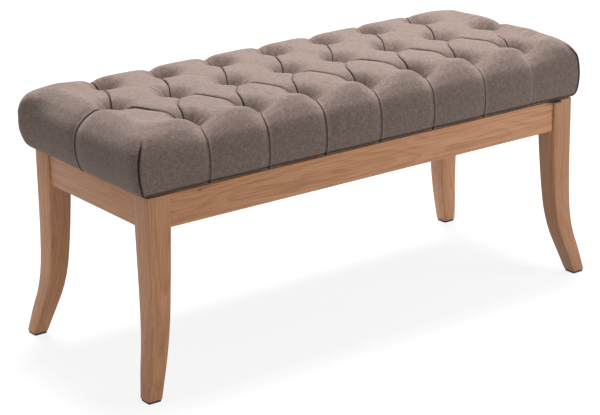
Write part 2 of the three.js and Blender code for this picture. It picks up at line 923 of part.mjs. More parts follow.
// The cloth: outside, inside, and the flange that is turned under the board.
function coverGeometry() {
  const inner = insetPoints(
    coverThickness,
    columns.map((c) => columnPoint(c, coverThickness, hemTop, pleatHem, 0)),
  );
  const flangeBelow = columns.map((c) => columnPoint(c, flangeWidth, hemBottom, 0, 0));
  const flangeAbove = columns.map((c) => columnPoint(c, flangeWidth, hemTop, 0, 0));
  const points = [...outside.points, ...inner, ...flangeBelow, ...flangeAbove];
  const innerStart = outside.points.length;
  const belowStart = innerStart + inner.length;
  const aboveStart = belowStart + flangeBelow.length;
  const below = columns.map((_, i) => belowStart + i);
  const above = columns.map((_, i) => aboveStart + i);
  const innerHem = hemIndices.map((index) => index + innerStart);
  const triangles = [
    ...outside.triangles,
    ...outside.triangles.map(([a, b, c]) => [c + innerStart, b + innerStart, a + innerStart]),
    ...bandTriangles(below, hemIndices),
    ...bandTriangles(innerHem, above),
    ...bandTriangles(above, below),
  ];
  return meshGeometry(points, triangles);
}

// The foam: it fills the cover above the board, with a hole through it at each tuft.
function foamGeometry() {
  const rim = columns.map((c) => columnPoint(c, foamInset, boardBottom, pleatHem, 0));
  const cap = capTriangles(rim).map(([a, b, c]) => [hemIndices[c], hemIndices[b], hemIndices[a]]);
  const whole = meshGeometry(insetPoints(foamInset, rim), [...outside.triangles, ...cap]);
  const belowFoam = box(
    new THREE.Vector3(-seatLength, -seatDepth, boardBottom - overrun),
    new THREE.Vector3(seatLength, seatDepth, foamBottom),
  );
  const holes = tufts.map((tuft) => tuftRod(tuft, foamHoleRadius, boardTop, seatTop));
  return cut(whole, belowFoam, ...holes);
}

// An upright rod at a tuft.
function tuftRod(tuft, radius, bottom, top) {
  const foot = new THREE.Vector3(tuft.x, tuft.y, bottom);
  return rod(radius, foot, foot.clone().setZ(top), holeSides);
}

// The four places of the seat screws, at one height.
function screwPlaces(height) {
  const place = screwPlace(height);
  return quarters.map(
    ([sideX, sideY]) => new THREE.Vector3(place.x * sideX, place.y * sideY, height),
  );
}

// A panel with the outline of the seat's underside, smaller by an inset.
function panel(inset, bottom, top) {
  const length = boardLength - 2 * inset;
  const depth = boardDepth - 2 * inset;
  return prism(roundRectangle(length, depth, boardCorner - inset, cornerSteps), bottom, top);
}

// The plywood board: a hole and a recess at each tuft, and a blind hole for each seat screw.
function boardGeometry() {
  const holes = tufts.map((tuft) =>
    tuftRod(tuft, tieHoleRadius, boardBottom - overrun, boardTop + overrun),
  );
  const recesses = tufts.map((tuft) =>
    tuftRod(tuft, toggleRadius + drillGap, boardBottom - overrun, boardBottom + toggleRecess),
  );
  const pilots = screwPlaces(boardBottom - overrun).map((start) => {
    const end = start.clone().setZ(boardBottom + screwBite + fitGap);
    return rod(screwRadius + fitGap, start, end, holeSides);
  });
  return cut(panel(0, boardBottom, boardTop), ...holes, ...recesses, ...pilots);
}

// The black cloth under the board, with a hole for each seat screw.
function dustGeometry() {
  const holes = screwPlaces(dustBottom - overrun).map((start) =>
    rod(screwRadius + drillGap, start, start.clone().setZ(dustTop + overrun), holeSides),
  );
  return cut(panel(dustInset, dustBottom, dustTop), ...holes);
}

// A tuft's tie: the toggle in its recess, the twine, and the disc under the cloth.
function tieGeometry(tuft) {
  const toggleTop = toggleRecess - fitGap;
  const top = topHeight(tuft.x, tuft.y) - coverThickness - fitGap - boardBottom;
  const profile = [
    [0, toggleTop - toggleHeight],
    [toggleRadius, toggleTop - toggleHeight],
    [toggleRadius, toggleTop],
    [tieTwineRadius, toggleTop],
    [tieTwineRadius, top - tieDiscHeight],
    [tieDiscRadius, top - tieDiscHeight],
    [tieDiscRadius, top],
    [0, top],
  ];
  const start = new THREE.Vector3(tuft.x, tuft.y, boardBottom);
  return turned(profile, start, new THREE.Vector3(0, 0, 1), tieSides);
}

function seatGroup() {
  const group = new THREE.Group();
  group.add(named("seat_board", boardGeometry(), plywood));
  group.add(named("foam_pad", foamGeometry(), foam));
  group.add(named("seat_cover", coverGeometry(), linen));
  group.add(named("dust_cover", dustGeometry(), cambric));
  const rowNames = new Map([
    [-tuftRow, "front"],
    [0, "middle"],
    [tuftRow, "back"],
  ]);
  for (const [y, rowName] of rowNames) {
    tufts
      .filter((tuft) => tuft.y === y)
      .forEach((tuft, i) => group.add(named(`tuft_tie_${rowName}_${i + 1}`, tieGeometry(tuft), twine)));
  }
  return group;
}

const bench = new THREE.Group();
bench.add(frameGroup(), seatGroup());

export default bench;
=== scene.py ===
"""Dresses the tufted bench: deep-tufted linen seat, light wooden frame with sabre legs."""

import logging
import math
from dataclasses import dataclass, field
from enum import Enum
from typing import Callable, NamedTuple

import bmesh
import bpy
import numpy as np
from mathutils import Matrix, Vector


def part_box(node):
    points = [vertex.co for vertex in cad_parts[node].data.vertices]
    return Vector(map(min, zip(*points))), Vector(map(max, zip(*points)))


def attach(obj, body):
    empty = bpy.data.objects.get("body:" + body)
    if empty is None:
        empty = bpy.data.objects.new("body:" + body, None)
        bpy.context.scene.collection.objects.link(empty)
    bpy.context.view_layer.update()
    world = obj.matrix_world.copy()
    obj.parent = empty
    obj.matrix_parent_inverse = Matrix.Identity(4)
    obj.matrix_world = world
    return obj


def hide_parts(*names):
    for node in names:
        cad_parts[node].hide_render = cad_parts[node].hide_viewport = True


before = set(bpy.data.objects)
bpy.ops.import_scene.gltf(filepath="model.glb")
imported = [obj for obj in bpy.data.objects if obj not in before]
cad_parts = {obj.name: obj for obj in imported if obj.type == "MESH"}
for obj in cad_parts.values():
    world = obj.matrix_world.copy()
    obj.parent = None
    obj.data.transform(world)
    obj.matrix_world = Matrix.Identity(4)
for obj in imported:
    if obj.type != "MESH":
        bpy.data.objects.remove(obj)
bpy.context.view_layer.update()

MM = 0.001
BODY = "root"
PHOTO_WIDTH = 600
LOG = logging.getLogger("bench")
# Height of the seat's hem in millimetres
HEM = 370.4
# Points nearer than this are sewn together; the third part of a point's key is its height share times this
SEWING_GRID = 0.02
KEY_HEIGHT = 1000.0
# A distance in millimetres that no fold reaches, and one that is nothing
FAR = 60.0
TINY = 1e-6
WHITE = (1.0, 1.0, 1.0, 1.0)

Array = np.ndarray
Object = bpy.types.Object
Socket = bpy.types.NodeSocket
Pair = tuple[float, float]
Triple = tuple[float, float, float]
Colour = Triple
# How dark the painted shade along a fold is, and how far that reaches
Shade = tuple[float | Array, float | Array]


# ---------------------------------------------------------------- shader building


@dataclass(frozen=True)
class Waves:
    """A layer of noise over a coordinate.

    It holds the waves per metre on each axis, their shift, how many octaves there are, how rough the
    finer ones are, and how much of the layer shows.
    """

    scale: Triple
    shift: Triple = (0.0, 0.0, 0.0)
    detail: float = 2.0
    roughness: float = 0.5
    weight: float = 1.0


class Shader:
    """A node material under construction, with short ways to add and join nodes."""

    def __init__(self, name: str) -> None:
        """Starts an empty node material.

        Args:
            name: The material's name.
        """
        self.material = bpy.data.materials.new(name)
        self.material.use_nodes = True
        self.tree = self.material.node_tree
        self.tree.nodes.clear()
        self.output = self.tree.nodes.new("ShaderNodeOutputMaterial")

    def add(self, kind: str, **settings: object) -> bpy.types.Node:
        """Adds a node and sets its properties.

        Args:
            kind: The node's type, without its ShaderNode prefix.
            **settings: Properties of the node.

        Returns:
            The new node.
        """
        node = self.tree.nodes.new("ShaderNode" + kind)
        for key, value in settings.items():
            setattr(node, key, value)
        return node

    def plug(self, value: object, socket: Socket) -> None:
        """Puts a socket's link or a plain value on an input socket."""
        if isinstance(value, Socket):
            self.tree.links.new(value, socket)
        else:
            socket.default_value = value

    def attribute(self, name: str) -> bpy.types.Node:
        """Adds a node that reads one of the piece's own attributes."""
        return self.add("Attribute", attribute_name=name, attribute_type="GEOMETRY")

    def place(self) -> Socket:
        """Adds the piece's Object coordinates."""
        return self.add("TexCoord").outputs["Object"]

    def split(self, vector: Socket) -> tuple[Socket, ...]:
        """Splits a vector into its three parts."""
        node = self.add("SeparateXYZ")
        self.plug(vector, node.inputs[0])
        return tuple(node.outputs)

    def scaled(self, vector: Socket, scale: Triple, shift: Triple = (0.0, 0.0, 0.0)) -> Socket:
        """Stretches and shifts a coordinate.

        Args:
            vector: The coordinate.
            scale: The factor on each axis.
            shift: What is added after that.

        Returns:
            The new coordinate.
        """
        node = self.add("VectorMath", operation="MULTIPLY_ADD")
        self.plug(vector, node.inputs[0])
        node.inputs[1].default_value = scale
        node.inputs[2].default_value = shift
        return node.outputs[0]

    def noise(self, vector: Socket, scale: float, detail: float = 2.0, roughness: float = 0.5) -> Socket:
        """Adds noise over a coordinate.

        Args:
            vector: The coordinate.
            scale: Waves per unit.
            detail: Octaves.
            roughness: Strength of the finer octaves.

        Returns:
            The noise, about 0 to 1.
        """
        node = self.add("TexNoise", noise_dimensions="3D")
        self.plug(vector, node.inputs["Vector"])
        node.inputs["Scale"].default_value = scale
        node.inputs["Detail"].default_value = detail
        node.inputs["Roughness"].default_value = roughness
        return node.outputs["Fac"]

    def waves(self, vector: Socket, layer: Waves) -> Socket:
        """Adds a layer of noise over a coordinate."""
        stretched = self.scaled(vector, layer.scale, layer.shift)
        return self.noise(stretched, 1.0, layer.detail, layer.roughness)

    def math(self, operation: str, *values: object) -> Socket:
        """Adds a sum, product or other function of numbers.

        Args:
            operation: The Math node's operation.
            *values: Sockets or numbers.

        Returns:
            The result.
        """
        node = self.add("Math", operation=operation)
        for value, socket in zip(values, node.inputs):
            self.plug(value, socket)
        return node.outputs[0]

    def ramp(self, factor: Socket, low: float, high: float) -> Socket:
        """Maps a range of a number smoothly to 0 to 1."""
        node = self.add("MapRange", interpolation_type="SMOOTHSTEP")
        self.plug(factor, node.inputs["Value"])
        node.inputs["From Min"].default_value = low
        node.inputs["From Max"].default_value = high
        return node.outputs["Result"]

    def mix(self, factor: object, one: object, two: object, blend: str = "MIX") -> Socket:
        """Mixes two colours.

        Args:
            factor: How much of the second.
            one: A socket or a colour.
            two: A socket or a colour.
            blend: The way of mixing.

        Returns:
            The mixed colour.
        """
        node = self.add("Mix", data_type="RGBA", blend_type=blend)
        self.plug(factor, node.inputs["Factor"])
        for value, socket in ((one, node.inputs[6]), (two, node.inputs[7])):
            self.plug(opaque(value), socket)
        return node.outputs[2]

    def bump(self, height: Socket, strength: float, distance: float, below: Socket | None = None) -> Socket:
        """Turns a height into a normal.

        Args:
            height: The height, about 0 to 1.
            strength: How much of it shows.
            distance: The real height of 1, in metres.
            below: A coarser normal that it lies on.

        Returns:
            The normal.
        """
        node = self.add("Bump")
        node.inputs["Strength"].default_value = strength
        node.inputs["Distance"].default_value = distance
        self.plug(height, node.inputs["Height"])
        if below is not None:
            self.plug(below, node.inputs["Normal"])
        return node.outputs["Normal"]

    def surface(self, **inputs: object) -> bpy.types.Material:
        """Ends the material with a Principled shader.

        Args:
            **inputs: Its inputs, with underscores for the spaces in their names.

        Returns:
            The finished material.
        """
        shader = self.add("BsdfPrincipled")
        for key, value in inputs.items():
            self.plug(opaque(value), shader.inputs[key.replace("_", " ")])
        self.plug(shader.outputs[0], self.output.inputs["Surface"])
        return self.material


def opaque(value: object) -> object:
    """Gives a plain colour its fourth part, and leaves anything else as it is."""
    return (*value, 1.0) if isinstance(value, tuple) and len(value) == 3 else value


def times(colour: Colour, factor: float) -> Colour:
    """A colour made darker or lighter."""
    return tuple(factor * part for part in colour)


# ---------------------------------------------------------------- finishes


@dataclass(frozen=True)
class WoodFinish:
    """Lacquered or raw wood.

    It reads two attributes of each timber: "grain", which is the place along, across and through it
    in metres, and "tone".
    """

    name: str
    light: Colour
    dark: Colour
    roughness: float = 0.5
    coat: float = 0.12
    ring_width: float = 0.0042
    figure: float = 0.5
    knots: tuple[Triple, ...] = ()
    # How far under a timber the tree's heart lies, how much it slants along the timber, and sways
    heart: float = 0.075
    slant: float = 0.012
    sway: Waves = Waves((2.2, 9.0, 9.0), weight=0.05)
    # Where late wood begins and is full within a ring, and where it breaks off
    late_wood: Pair = (0.25, 0.93)
    late_end: Pair = (1.0, 0.95)
    late_weight: float = 0.42
    streaks: Waves = Waves((7.0, 620.0, 620.0), detail=3.0, roughness=0.6, weight=1.3)
    fine: Waves = Waves((12.0, 800.0, 800.0), (2.0, 0.0, 3.0), roughness=0.6, weight=1.5)
    broad: Waves = Waves((3.0, 90.0, 90.0), (4.0, 2.0, 7.0), weight=0.45)
    fleck: Waves = Waves((45.0, 160.0, 160.0), (1.0, 5.0, 3.0), weight=0.12)
    pores: Waves = Waves((85.0, 2600.0, 2600.0), detail=1.0, weight=0.32)
    pore_edge: Pair = (0.62, 0.72)
    # The sum that the layers start from, and the sums that are all light and all dark
    base_tone: float = 0.25
    tone_range: Pair = (0.35, 1.05)
    # Radii in metres where a knot's halo and core begin and are full
    knot_halo: Pair = (0.006, 0.0015)
    knot_core: Pair = (0.0017, 0.0008)

    def material(self) -> bpy.types.Material:
        """Builds the material."""
        s = Shader(self.name)
        grain = s.attribute("grain").outputs["Vector"]
        streaks = s.waves(grain, self.streaks)
        pores = s.ramp(s.waves(grain, self.pores), *self.pore_edge)
        tone = s.math("MULTIPLY_ADD", self.rings(s, grain), self.late_weight * self.figure, self.base_tone)
        for value, layer in ((streaks, self.streaks), (s.waves(grain, self.fine), self.fine)):
            tone = s.math("MULTIPLY_ADD", s.math("SUBTRACT", value, 0.5), layer.weight, tone)
        for layer in (self.broad, self.fleck):
            tone = s.math("MULTIPLY_ADD", s.waves(grain, layer), layer.weight, tone)
        colour = s.mix(s.ramp(tone, *self.tone_range), self.light, self.dark)
        colour = s.mix(s.math("MULTIPLY", pores, self.pores.weight), colour, times(self.dark, 0.5))
        for knot in self.knots:
            colour = self.with_knot(s, colour, knot)
        own_tone = s.add("CombineColor")
        for channel in own_tone.inputs:
            s.plug(s.attribute("tone").outputs["Fac"], channel)
        height = s.math("MULTIPLY_ADD", pores, -0.8, s.math("MULTIPLY", streaks, 0.5))
        return s.surface(
            Base_Color=s.mix(1.0, colour, own_tone.outputs[0], "MULTIPLY"),
            Roughness=s.math("MULTIPLY_ADD", streaks, 0.16, self.roughness - 0.08),
            Normal=s.bump(height, 0.35, 0.00015),
            Coat_Weight=self.coat,
            Coat_Roughness=0.4,
        )

    def rings(self, s: Shader, grain: Socket) -> Socket:
        """The growth rings, as if sawn from a slightly crooked tree.

        Args:
            s: The material under construction.
            grain: The place in the timber.

        Returns:
            How much late wood there is, 0 to 1.
        """
        along, across, through = s.split(grain)
        drift = s.math("MULTIPLY", s.math("SUBTRACT", s.waves(grain, self.sway), 0.5), self.sway.weight)
        slant = s.math("MULTIPLY_ADD", along, self.slant, drift)
        deep = s.math("ADD", s.math("ADD", through, self.heart), slant)
        square = s.math("ADD", s.math("MULTIPLY", across, across), s.math("MULTIPLY", deep, deep))
        ring = s.math("FRACT", s.math("DIVIDE", s.math("SQRT", square), self.ring_width))
        return s.math("MULTIPLY", s.ramp(ring, *self.late_wood), s.ramp(ring, *self.late_end))

    def with_knot(self, s: Shader, colour: Socket, knot: Triple) -> Socket:
        """Adds a small pin knot.

        Args:
            s: The material under construction.
            colour: The wood's colour so far.
            knot: Where the knot is, in metres.

        Returns:
            The colour with the knot.
        """
        place = s.place()
        offset = s.add("VectorMath", operation="SUBTRACT")
        s.plug(place, offset.inputs[0])
        offset.inputs[1].default_value = knot
        length = s.add("VectorMath", operation="LENGTH")
        s.plug(s.scaled(offset.outputs[0], (0.55, 1.0, 1.0)), length.inputs[0])
        rough = s.math("SUBTRACT", s.noise(place, 900.0, 1.0), 0.5)
        reach = s.math("MULTIPLY_ADD", rough, 0.0012, length.outputs["Value"])
        halo = s.math("MULTIPLY", s.ramp(reach, *self.knot_halo), 0.4)
        core = s.math("MULTIPLY", s.ramp(reach, *self.knot_core), 0.85)
        return s.mix(core, s.mix(halo, colour, (0.22, 0.1, 0.04)), (0.06, 0.025, 0.012))


@dataclass(frozen=True)
class LinenFinish:
    """Plain-weave upholstery cloth with slubs. It reads the cloth's UV map, in metres."""

    name: str
    colour: Colour
    pale: Colour
    deep: Colour
    # The painted shade: the colour that the fold attribute mixes in, and how much at most
    shade: Colour = (0.016, 0.006, 0.004)
    shade_weight: float = 0.96
    thread: float = 0.00115
    # How far the threads waver to each side, in metres
    waver_reach: float = 0.00045
    sheen: float = 0.3
    waver: Waves = Waves((55.0, 55.0, 1.0))
    cloud: Waves = Waves((60.0, 60.0, 1.0), detail=4.0, roughness=0.65)
    # Uneven yarn in both directions, fine, coarse and in between
    slubs: tuple[Waves, Waves] = (
        Waves((780.0, 120.0, 1.0), detail=3.0, roughness=0.55),
        Waves((120.0, 780.0, 1.0), (3.0, 7.0, 0.0), detail=3.0, roughness=0.55),
    )
    streaks: tuple[Waves, Waves] = (
        Waves((420.0, 60.0, 1.0), (9.0, 1.0, 0.0)), Waves((60.0, 420.0, 1.0), (5.0, 2.0, 0.0)),
    )
    mottle: tuple[Waves, Waves] = (
        Waves((430.0, 95.0, 1.0), (2.0, 4.0, 0.0), roughness=0.6),
        Waves((95.0, 430.0, 1.0), (6.0, 1.0, 0.0), roughness=0.6),
    )

    def material(self) -> bpy.types.Material:
        """Builds the material."""
        s = Shader(self.name)
        cloth = s.add("UVMap", uv_map="cloth").outputs[0]
        weave = self.weave(s, cloth)
        heather, streaks = (self.crossed(s, cloth, layers) for layers in (self.slubs, self.streaks))
        cloud = s.waves(cloth, self.cloud)
        mottle = s.math("ADD", *(s.waves(cloth, layer) for layer in self.mottle))
        mottle = s.math("MULTIPLY_ADD", mottle, 0.68, -0.18)
        colour = self.colour
        for value, low, high, weight, tint in (
            (heather, 0.42, 0.62, 0.5, self.pale), (streaks, 0.55, 0.4, 0.4, self.deep),
            (cloud, 0.62, 0.4, 0.18, self.deep), (weave, 0.55, 0.2, 0.3, self.deep),
            (mottle, 0.5, 0.3, 0.75, self.deep), (mottle, 0.5, 0.7, 0.75, self.pale),
        ):
            colour = s.mix(s.math("MULTIPLY", s.ramp(value, low, high), weight), colour, tint)
        # Painted shade in the creases, the tufts' pits and along the front hem, where the fold attribute says
        fold = s.attribute("fold").outputs["Fac"]
        slubs = s.math("MULTIPLY_ADD", heather, 0.8, s.math("MULTIPLY", streaks, 0.5))
        return s.surface(
            Base_Color=s.mix(s.math("MULTIPLY", fold, self.shade_weight), colour, self.shade),
            Roughness=s.math("MULTIPLY_ADD", heather, 0.12, 0.84),
            Normal=s.bump(weave, 0.35, 0.0003, s.bump(slubs, 0.5, 0.0004)),
            Sheen_Weight=self.sheen,
            Sheen_Roughness=0.45,
            Sheen_Tint=(1.0, 0.9, 0.82),
            Specular_IOR_Level=0.2,
        )

    def weave(self, s: Shader, cloth: Socket) -> Socket:
        """Height of the woven threads, which waver a little.

        Args:
            s: The material under construction.
            cloth: The place on the flat cloth.

        Returns:
            The height, about 0 to 1.
        """
        reach = self.waver_reach
        waver = s.scaled(s.waves(cloth, self.waver), (2 * reach, 2 * reach, 0.0), (-reach, -reach, 0.0))
        bent = s.add("VectorMath", operation="ADD")
        s.plug(cloth, bent.inputs[0])
        s.plug(waver, bent.inputs[1])
        turns = [s.math("MULTIPLY", axis, math.pi / self.thread) for axis in s.split(bent.outputs[0])[:2]]
        warp, weft = [s.math("ABSOLUTE", s.math("SINE", turn)) for turn in turns]
        over = s.math("SINE", s.math("ADD", *turns))
        return s.math("MULTIPLY_ADD", s.math("MAXIMUM", warp, weft), 0.7, s.math("MULTIPLY", over, 0.15))

    def crossed(self, s: Shader, cloth: Socket, layers: tuple[Waves, Waves]) -> Socket:
        """The mean of uneven yarn in both directions."""
        warp, weft = (s.math("MULTIPLY", s.waves(cloth, layer), 0.5) for layer in layers)
        return s.math("ADD", warp, weft)


@dataclass(frozen=True)
class FeltFinish:
    """Non-woven cloth, pressed from short fibres."""

    name: str
    colour: Colour

    def material(self) -> bpy.types.Material:
        """Builds the material."""
        s = Shader(self.name)
        place = s.place()
        fibres = s.noise(place, 900.0, 4.0, 0.7)
        dots = s.add("TexVoronoi", feature="F1")
        s.plug(place, dots.inputs["Vector"])
        dots.inputs["Scale"].default_value = 520.0
        pits = s.ramp(dots.outputs["Distance"], 0.18, 0.32)
        height = s.math("ADD", s.math("MULTIPLY", fibres, 0.5), s.math("MULTIPLY", pits, 0.6))
        return s.surface(
            Base_Color=s.mix(s.ramp(fibres, 0.35, 0.7), self.colour, times(self.colour, 3.2)),
            Roughness=0.93,
            Normal=s.bump(height, 0.6, 0.0002),
            Sheen_Weight=0.08,
            Sheen_Roughness=0.6,
        )


@dataclass(frozen=True)
class PliedFinish:
    """Plywood: long streaks on the faces and thin layers on the edges."""

    name: str
    light: Colour
    dark: Colour
    layer: float = 0.0024
    streaks: Waves = Waves((9.0, 420.0, 420.0), detail=3.0, roughness=0.6)

    def material(self) -> bpy.types.Material:
        """Builds the material."""
        s = Shader(self.name)
        place = s.place()
        height = s.split(place)[2]
        normal = s.add("NewGeometry").outputs["Normal"]
        face = s.ramp(s.math("ABSOLUTE", s.split(normal)[2]), 0.6, 0.8)
        plies = s.math("SINE", s.math("MULTIPLY", height, math.tau / self.layer))
        edge = s.math("MULTIPLY_ADD", plies, 0.4, 0.5)
        figure = s.math("ADD", s.math("MULTIPLY", s.waves(place, self.streaks), face),
                        s.math("MULTIPLY", edge, s.math("SUBTRACT", 1.0, face)))
        colour = s.mix(s.ramp(figure, 0.3, 0.7), self.light, self.dark)
        return s.surface(Base_Color=colour, Roughness=0.72, Normal=s.bump(figure, 0.3, 0.0002))


@dataclass(frozen=True)
class MetalFinish:
    """Zinc-plated steel with a faint spangle and turning marks."""

    name: str
    colour: Colour
    roughness: float = 0.38
    marks: Waves = Waves((300.0, 300.0, 4000.0))

    def material(self) -> bpy.types.Material:
        """Builds the material."""
        s = Shader(self.name)
        place = s.place()
        spangle = s.noise(place, 700.0, 2.0)
        return s.surface(
            Base_Color=s.mix(s.ramp(spangle, 0.35, 0.65), self.colour, times(self.colour, 0.72)),
            Metallic=1.0,
            Roughness=s.math("MULTIPLY_ADD", spangle, 0.22, self.roughness - 0.1),
            Normal=s.bump(s.waves(place, self.marks), 0.15, 0.00005),
        )


@dataclass(frozen=True)
class PlasticFinish:
    """Moulded plastic with a fine spark-eroded texture."""

    name: str
    colour: Colour
    roughness: float = 0.55
    scuffs: Waves = Waves((90.0, 90.0, 400.0), detail=3.0)

    def material(self) -> bpy.types.Material:
        """Builds the material."""
        s = Shader(self.name)
        place = s.place()
        scuffs = s.waves(place, self.scuffs)
        return s.surface(
            Base_Color=s.mix(s.ramp(scuffs, 0.5, 0.75), self.colour, times(self.colour, 2.5)),
            Roughness=s.math("MULTIPLY_ADD", scuffs, 0.2, self.roughness - 0.1),
            Normal=s.bump(s.noise(place, 2600.0, 2.0), 0.25, 0.00008),
        )


@dataclass(frozen=True)
class TwineFinish:
    """Waxed twine laid up from strands."""

    name: str
    colour: Colour
    strand: float = 0.0012

    def material(self) -> bpy.types.Material:
        """Builds the material."""
        s = Shader(self.name)
        place = s.place()
        x, y, z = s.split(place)
        lay = s.math("ADD", s.math("ADD", x, y), z)
        strands = s.math("SINE", s.math("MULTIPLY", lay, math.tau / self.strand))
        height = s.math("MULTIPLY_ADD", strands, 0.4, s.noise(place, 1800.0, 2.0))
        colour = s.mix(s.ramp(height, 0.0, 1.0), times(self.colour, 0.6), self.colour)
        return s.surface(Base_Color=colour, Roughness=0.7, Normal=s.bump(height, 0.5, 0.0002))


class Finish(Enum):
    """The finishes of this bench."""

    BEECH = WoodFinish("beech_lacquered", (0.655, 0.315, 0.15), (0.445, 0.187, 0.079),
                       knots=((-0.3895, -0.190, 0.362), (0.4559, -0.190, 0.340)))
    BLOCK = WoodFinish("block_wood_raw", (0.56, 0.39, 0.22), (0.44, 0.28, 0.14), 0.72, 0.0, 0.008)
    PLYWOOD = PliedFinish("plywood_raw", (0.58, 0.43, 0.26), (0.42, 0.28, 0.15))
    LINEN = LinenFinish("linen_taupe", (0.215, 0.155, 0.134), (0.30, 0.228, 0.2), (0.14, 0.098, 0.083))
    DUST = FeltFinish("dust_cloth_black", (0.012, 0.0115, 0.012))
    ZINC = MetalFinish("steel_zinc", (0.5, 0.51, 0.52))
    GLIDE = PlasticFinish("plastic_black", (0.012, 0.012, 0.013))
    TWINE = TwineFinish("twine_waxed", (0.68, 0.62, 0.5))

    def material(self) -> bpy.types.Material:
        """The finish's material, built once."""
        found = bpy.data.materials.get(self.value.name)
        return found or self.value.material()


# ---------------------------------------------------------------- mesh helpers


def deselect() -> None:
    """Leaves edit mode and selects nothing."""
    if bpy.context.object and bpy.context.object.mode != "OBJECT":
        bpy.ops.object.mode_set(mode="OBJECT")
    bpy.ops.object.select_all(action="DESELECT")


def only(obj: Object) -> None:
    """Selects one object and makes it active."""
    deselect()
    obj.select_set(True)
    bpy.context.view_layer.objects.active = obj


def own_name(obj: Object, name: str) -> Object:
    """Names an object and its mesh."""
    obj.name = name
    obj.data.name = name
    return obj


def link(obj: Object) -> Object:
    """Puts a new object into the scene."""
    bpy.context.scene.collection.objects.link(obj)
    return obj


def read_points(obj: Object) -> Array:
    """The places of a mesh's points, one row each."""
    place = np.empty(len(obj.data.vertices) * 3, np.float32)
    obj.data.vertices.foreach_get("co", place)
    return place.reshape(-1, 3).astype(float)


def apply_modifiers(obj: Object) -> None:
    """Applies every modifier of an object, in order."""
    only(obj)
    for modifier in list(obj.modifiers):
        bpy.ops.object.modifier_apply(modifier=modifier.name)


def settle(obj: Object) -> None:
    """Puts an object's place into its mesh."""
    only(obj)
    bpy.ops.object.transform_apply(location=True, rotation=True, scale=True)


def dress(obj: Object, finish: Finish) -> Object:
    """Gives a piece its material and its body.

    Args:
        obj: The piece.
        finish: Its finish.

    Returns:
        The piece.
    """
    obj.data.materials.clear()
    obj.data.materials.append(finish.material())
    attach(obj, BODY)
    return obj


def smoothstep(low: float, high: float, value: Array) -> Array:
    """A smooth rise from 0 at low to 1 at high."""
    share = np.clip((np.asarray(value) - low) / (high - low), 0.0, 1.0)
    return share * share * (3.0 - 2.0 * share)


def read_off(table: tuple[Pair, ...], value: Array | float) -> Array:
    """Reads values off a table of pairs, with straight lines between them."""
    return np.interp(value, *np.array(table).T)


# ---------------------------------------------------------------- tufted seat


class Side(Enum):
    """Whether a panel of cloth lies over or under its neighbour at a fold."""

    OVER = 1
    UNDER = -1


class Crease(Enum):
    """The creases between tufts: they fall or rise to the right, in the front or the back half.

    Each holds shares of the way from the middle row's tuft, then the fold's strength there.
    """

    FALLING_FRONT = ((0.0, 0.1, 0.5, 0.75, 1.0), (0.9, 1.3, 1.2, 0.45, 0.3))
    RISING_FRONT = ((0.0, 0.2, 0.5, 0.7, 1.0), (0.0, 0.05, 0.75, 1.0, 1.0))
    RISING_LAST = ((0.0, 0.35, 0.6, 0.85, 1.0), (0.0, 0.0, 0.3, 0.7, 0.85))
    FALLING_BACK = ((0.0, 1.0), (0.05, 0.05))
    RISING_BACK = ((0.0, 0.2, 1.0), (1.15, 1.1, 0.85))

    def strength(self, share: Array) -> Array:
        """Strength of the fold, by share of the way from the middle row's tuft."""
        return np.interp(share, *self.value)

    def spread(self, share: Array) -> Array:
        """How far the fold's painted shade reaches, by share of the way from the middle row's tuft.

        It reaches further where the cloth in front hides the fold's root, and at the front tufts.

        Args:
            share: The shares.

        Returns:
            The reach, as a factor.
        """
        if self is Crease.FALLING_FRONT:
            return np.full_like(share, 3.4)
        if self is Crease.RISING_FRONT:
            return np.interp(share, (0.5, 0.85, 1.0), (0.85, 1.5, 2.2))
        return np.full_like(share, 0.85)


@dataclass(frozen=True)
class FoldShape:
    """Cross-section of a fold in millimetres: distance from the fold, then sideways shift and rise."""

    steps: tuple[float, ...] = (0.0, 0.5, 1.0, 1.6, 2.3, 3.1, 4.2, 5.8, 8.0, 12.0)
    over_shift: tuple[float, ...] = (0.0, 1.5, 2.7, 3.6, 4.0, 3.8, 3.2, 1.8, 0.5, 0.0)
    over_rise: tuple[float, ...] = (-3.2, -3.1, -2.5, -1.5, -0.5, 0.3, 0.7, 0.65, 0.3, 0.0)
    under_shift: tuple[float, ...] = (0.0, 0.3, 0.6, 0.9, 1.0, 0.9, 0.7, 0.4, 0.1, 0.0)
    under_rise: tuple[float, ...] = (-3.2, -3.3, -3.3, -3.1, -2.7, -2.0, -1.3, -0.6, -0.25, 0.0)

    def offset(self, distance: Array, side: Side) -> tuple[Array, Array]:
        """How the cloth is moved beside a fold.

        Args:
            distance: From the fold, in millimetres.
            side: Whether the cloth is over or under there.

        Returns:
            The shift towards the fold's other side, and the rise.
        """
        if side is Side.OVER:
            return (np.interp(distance, self.steps, self.over_shift),
                    np.interp(distance, self.steps, self.over_rise))
        return (-np.interp(distance, self.steps, self.under_shift),
                np.interp(distance, self.steps, self.under_rise))


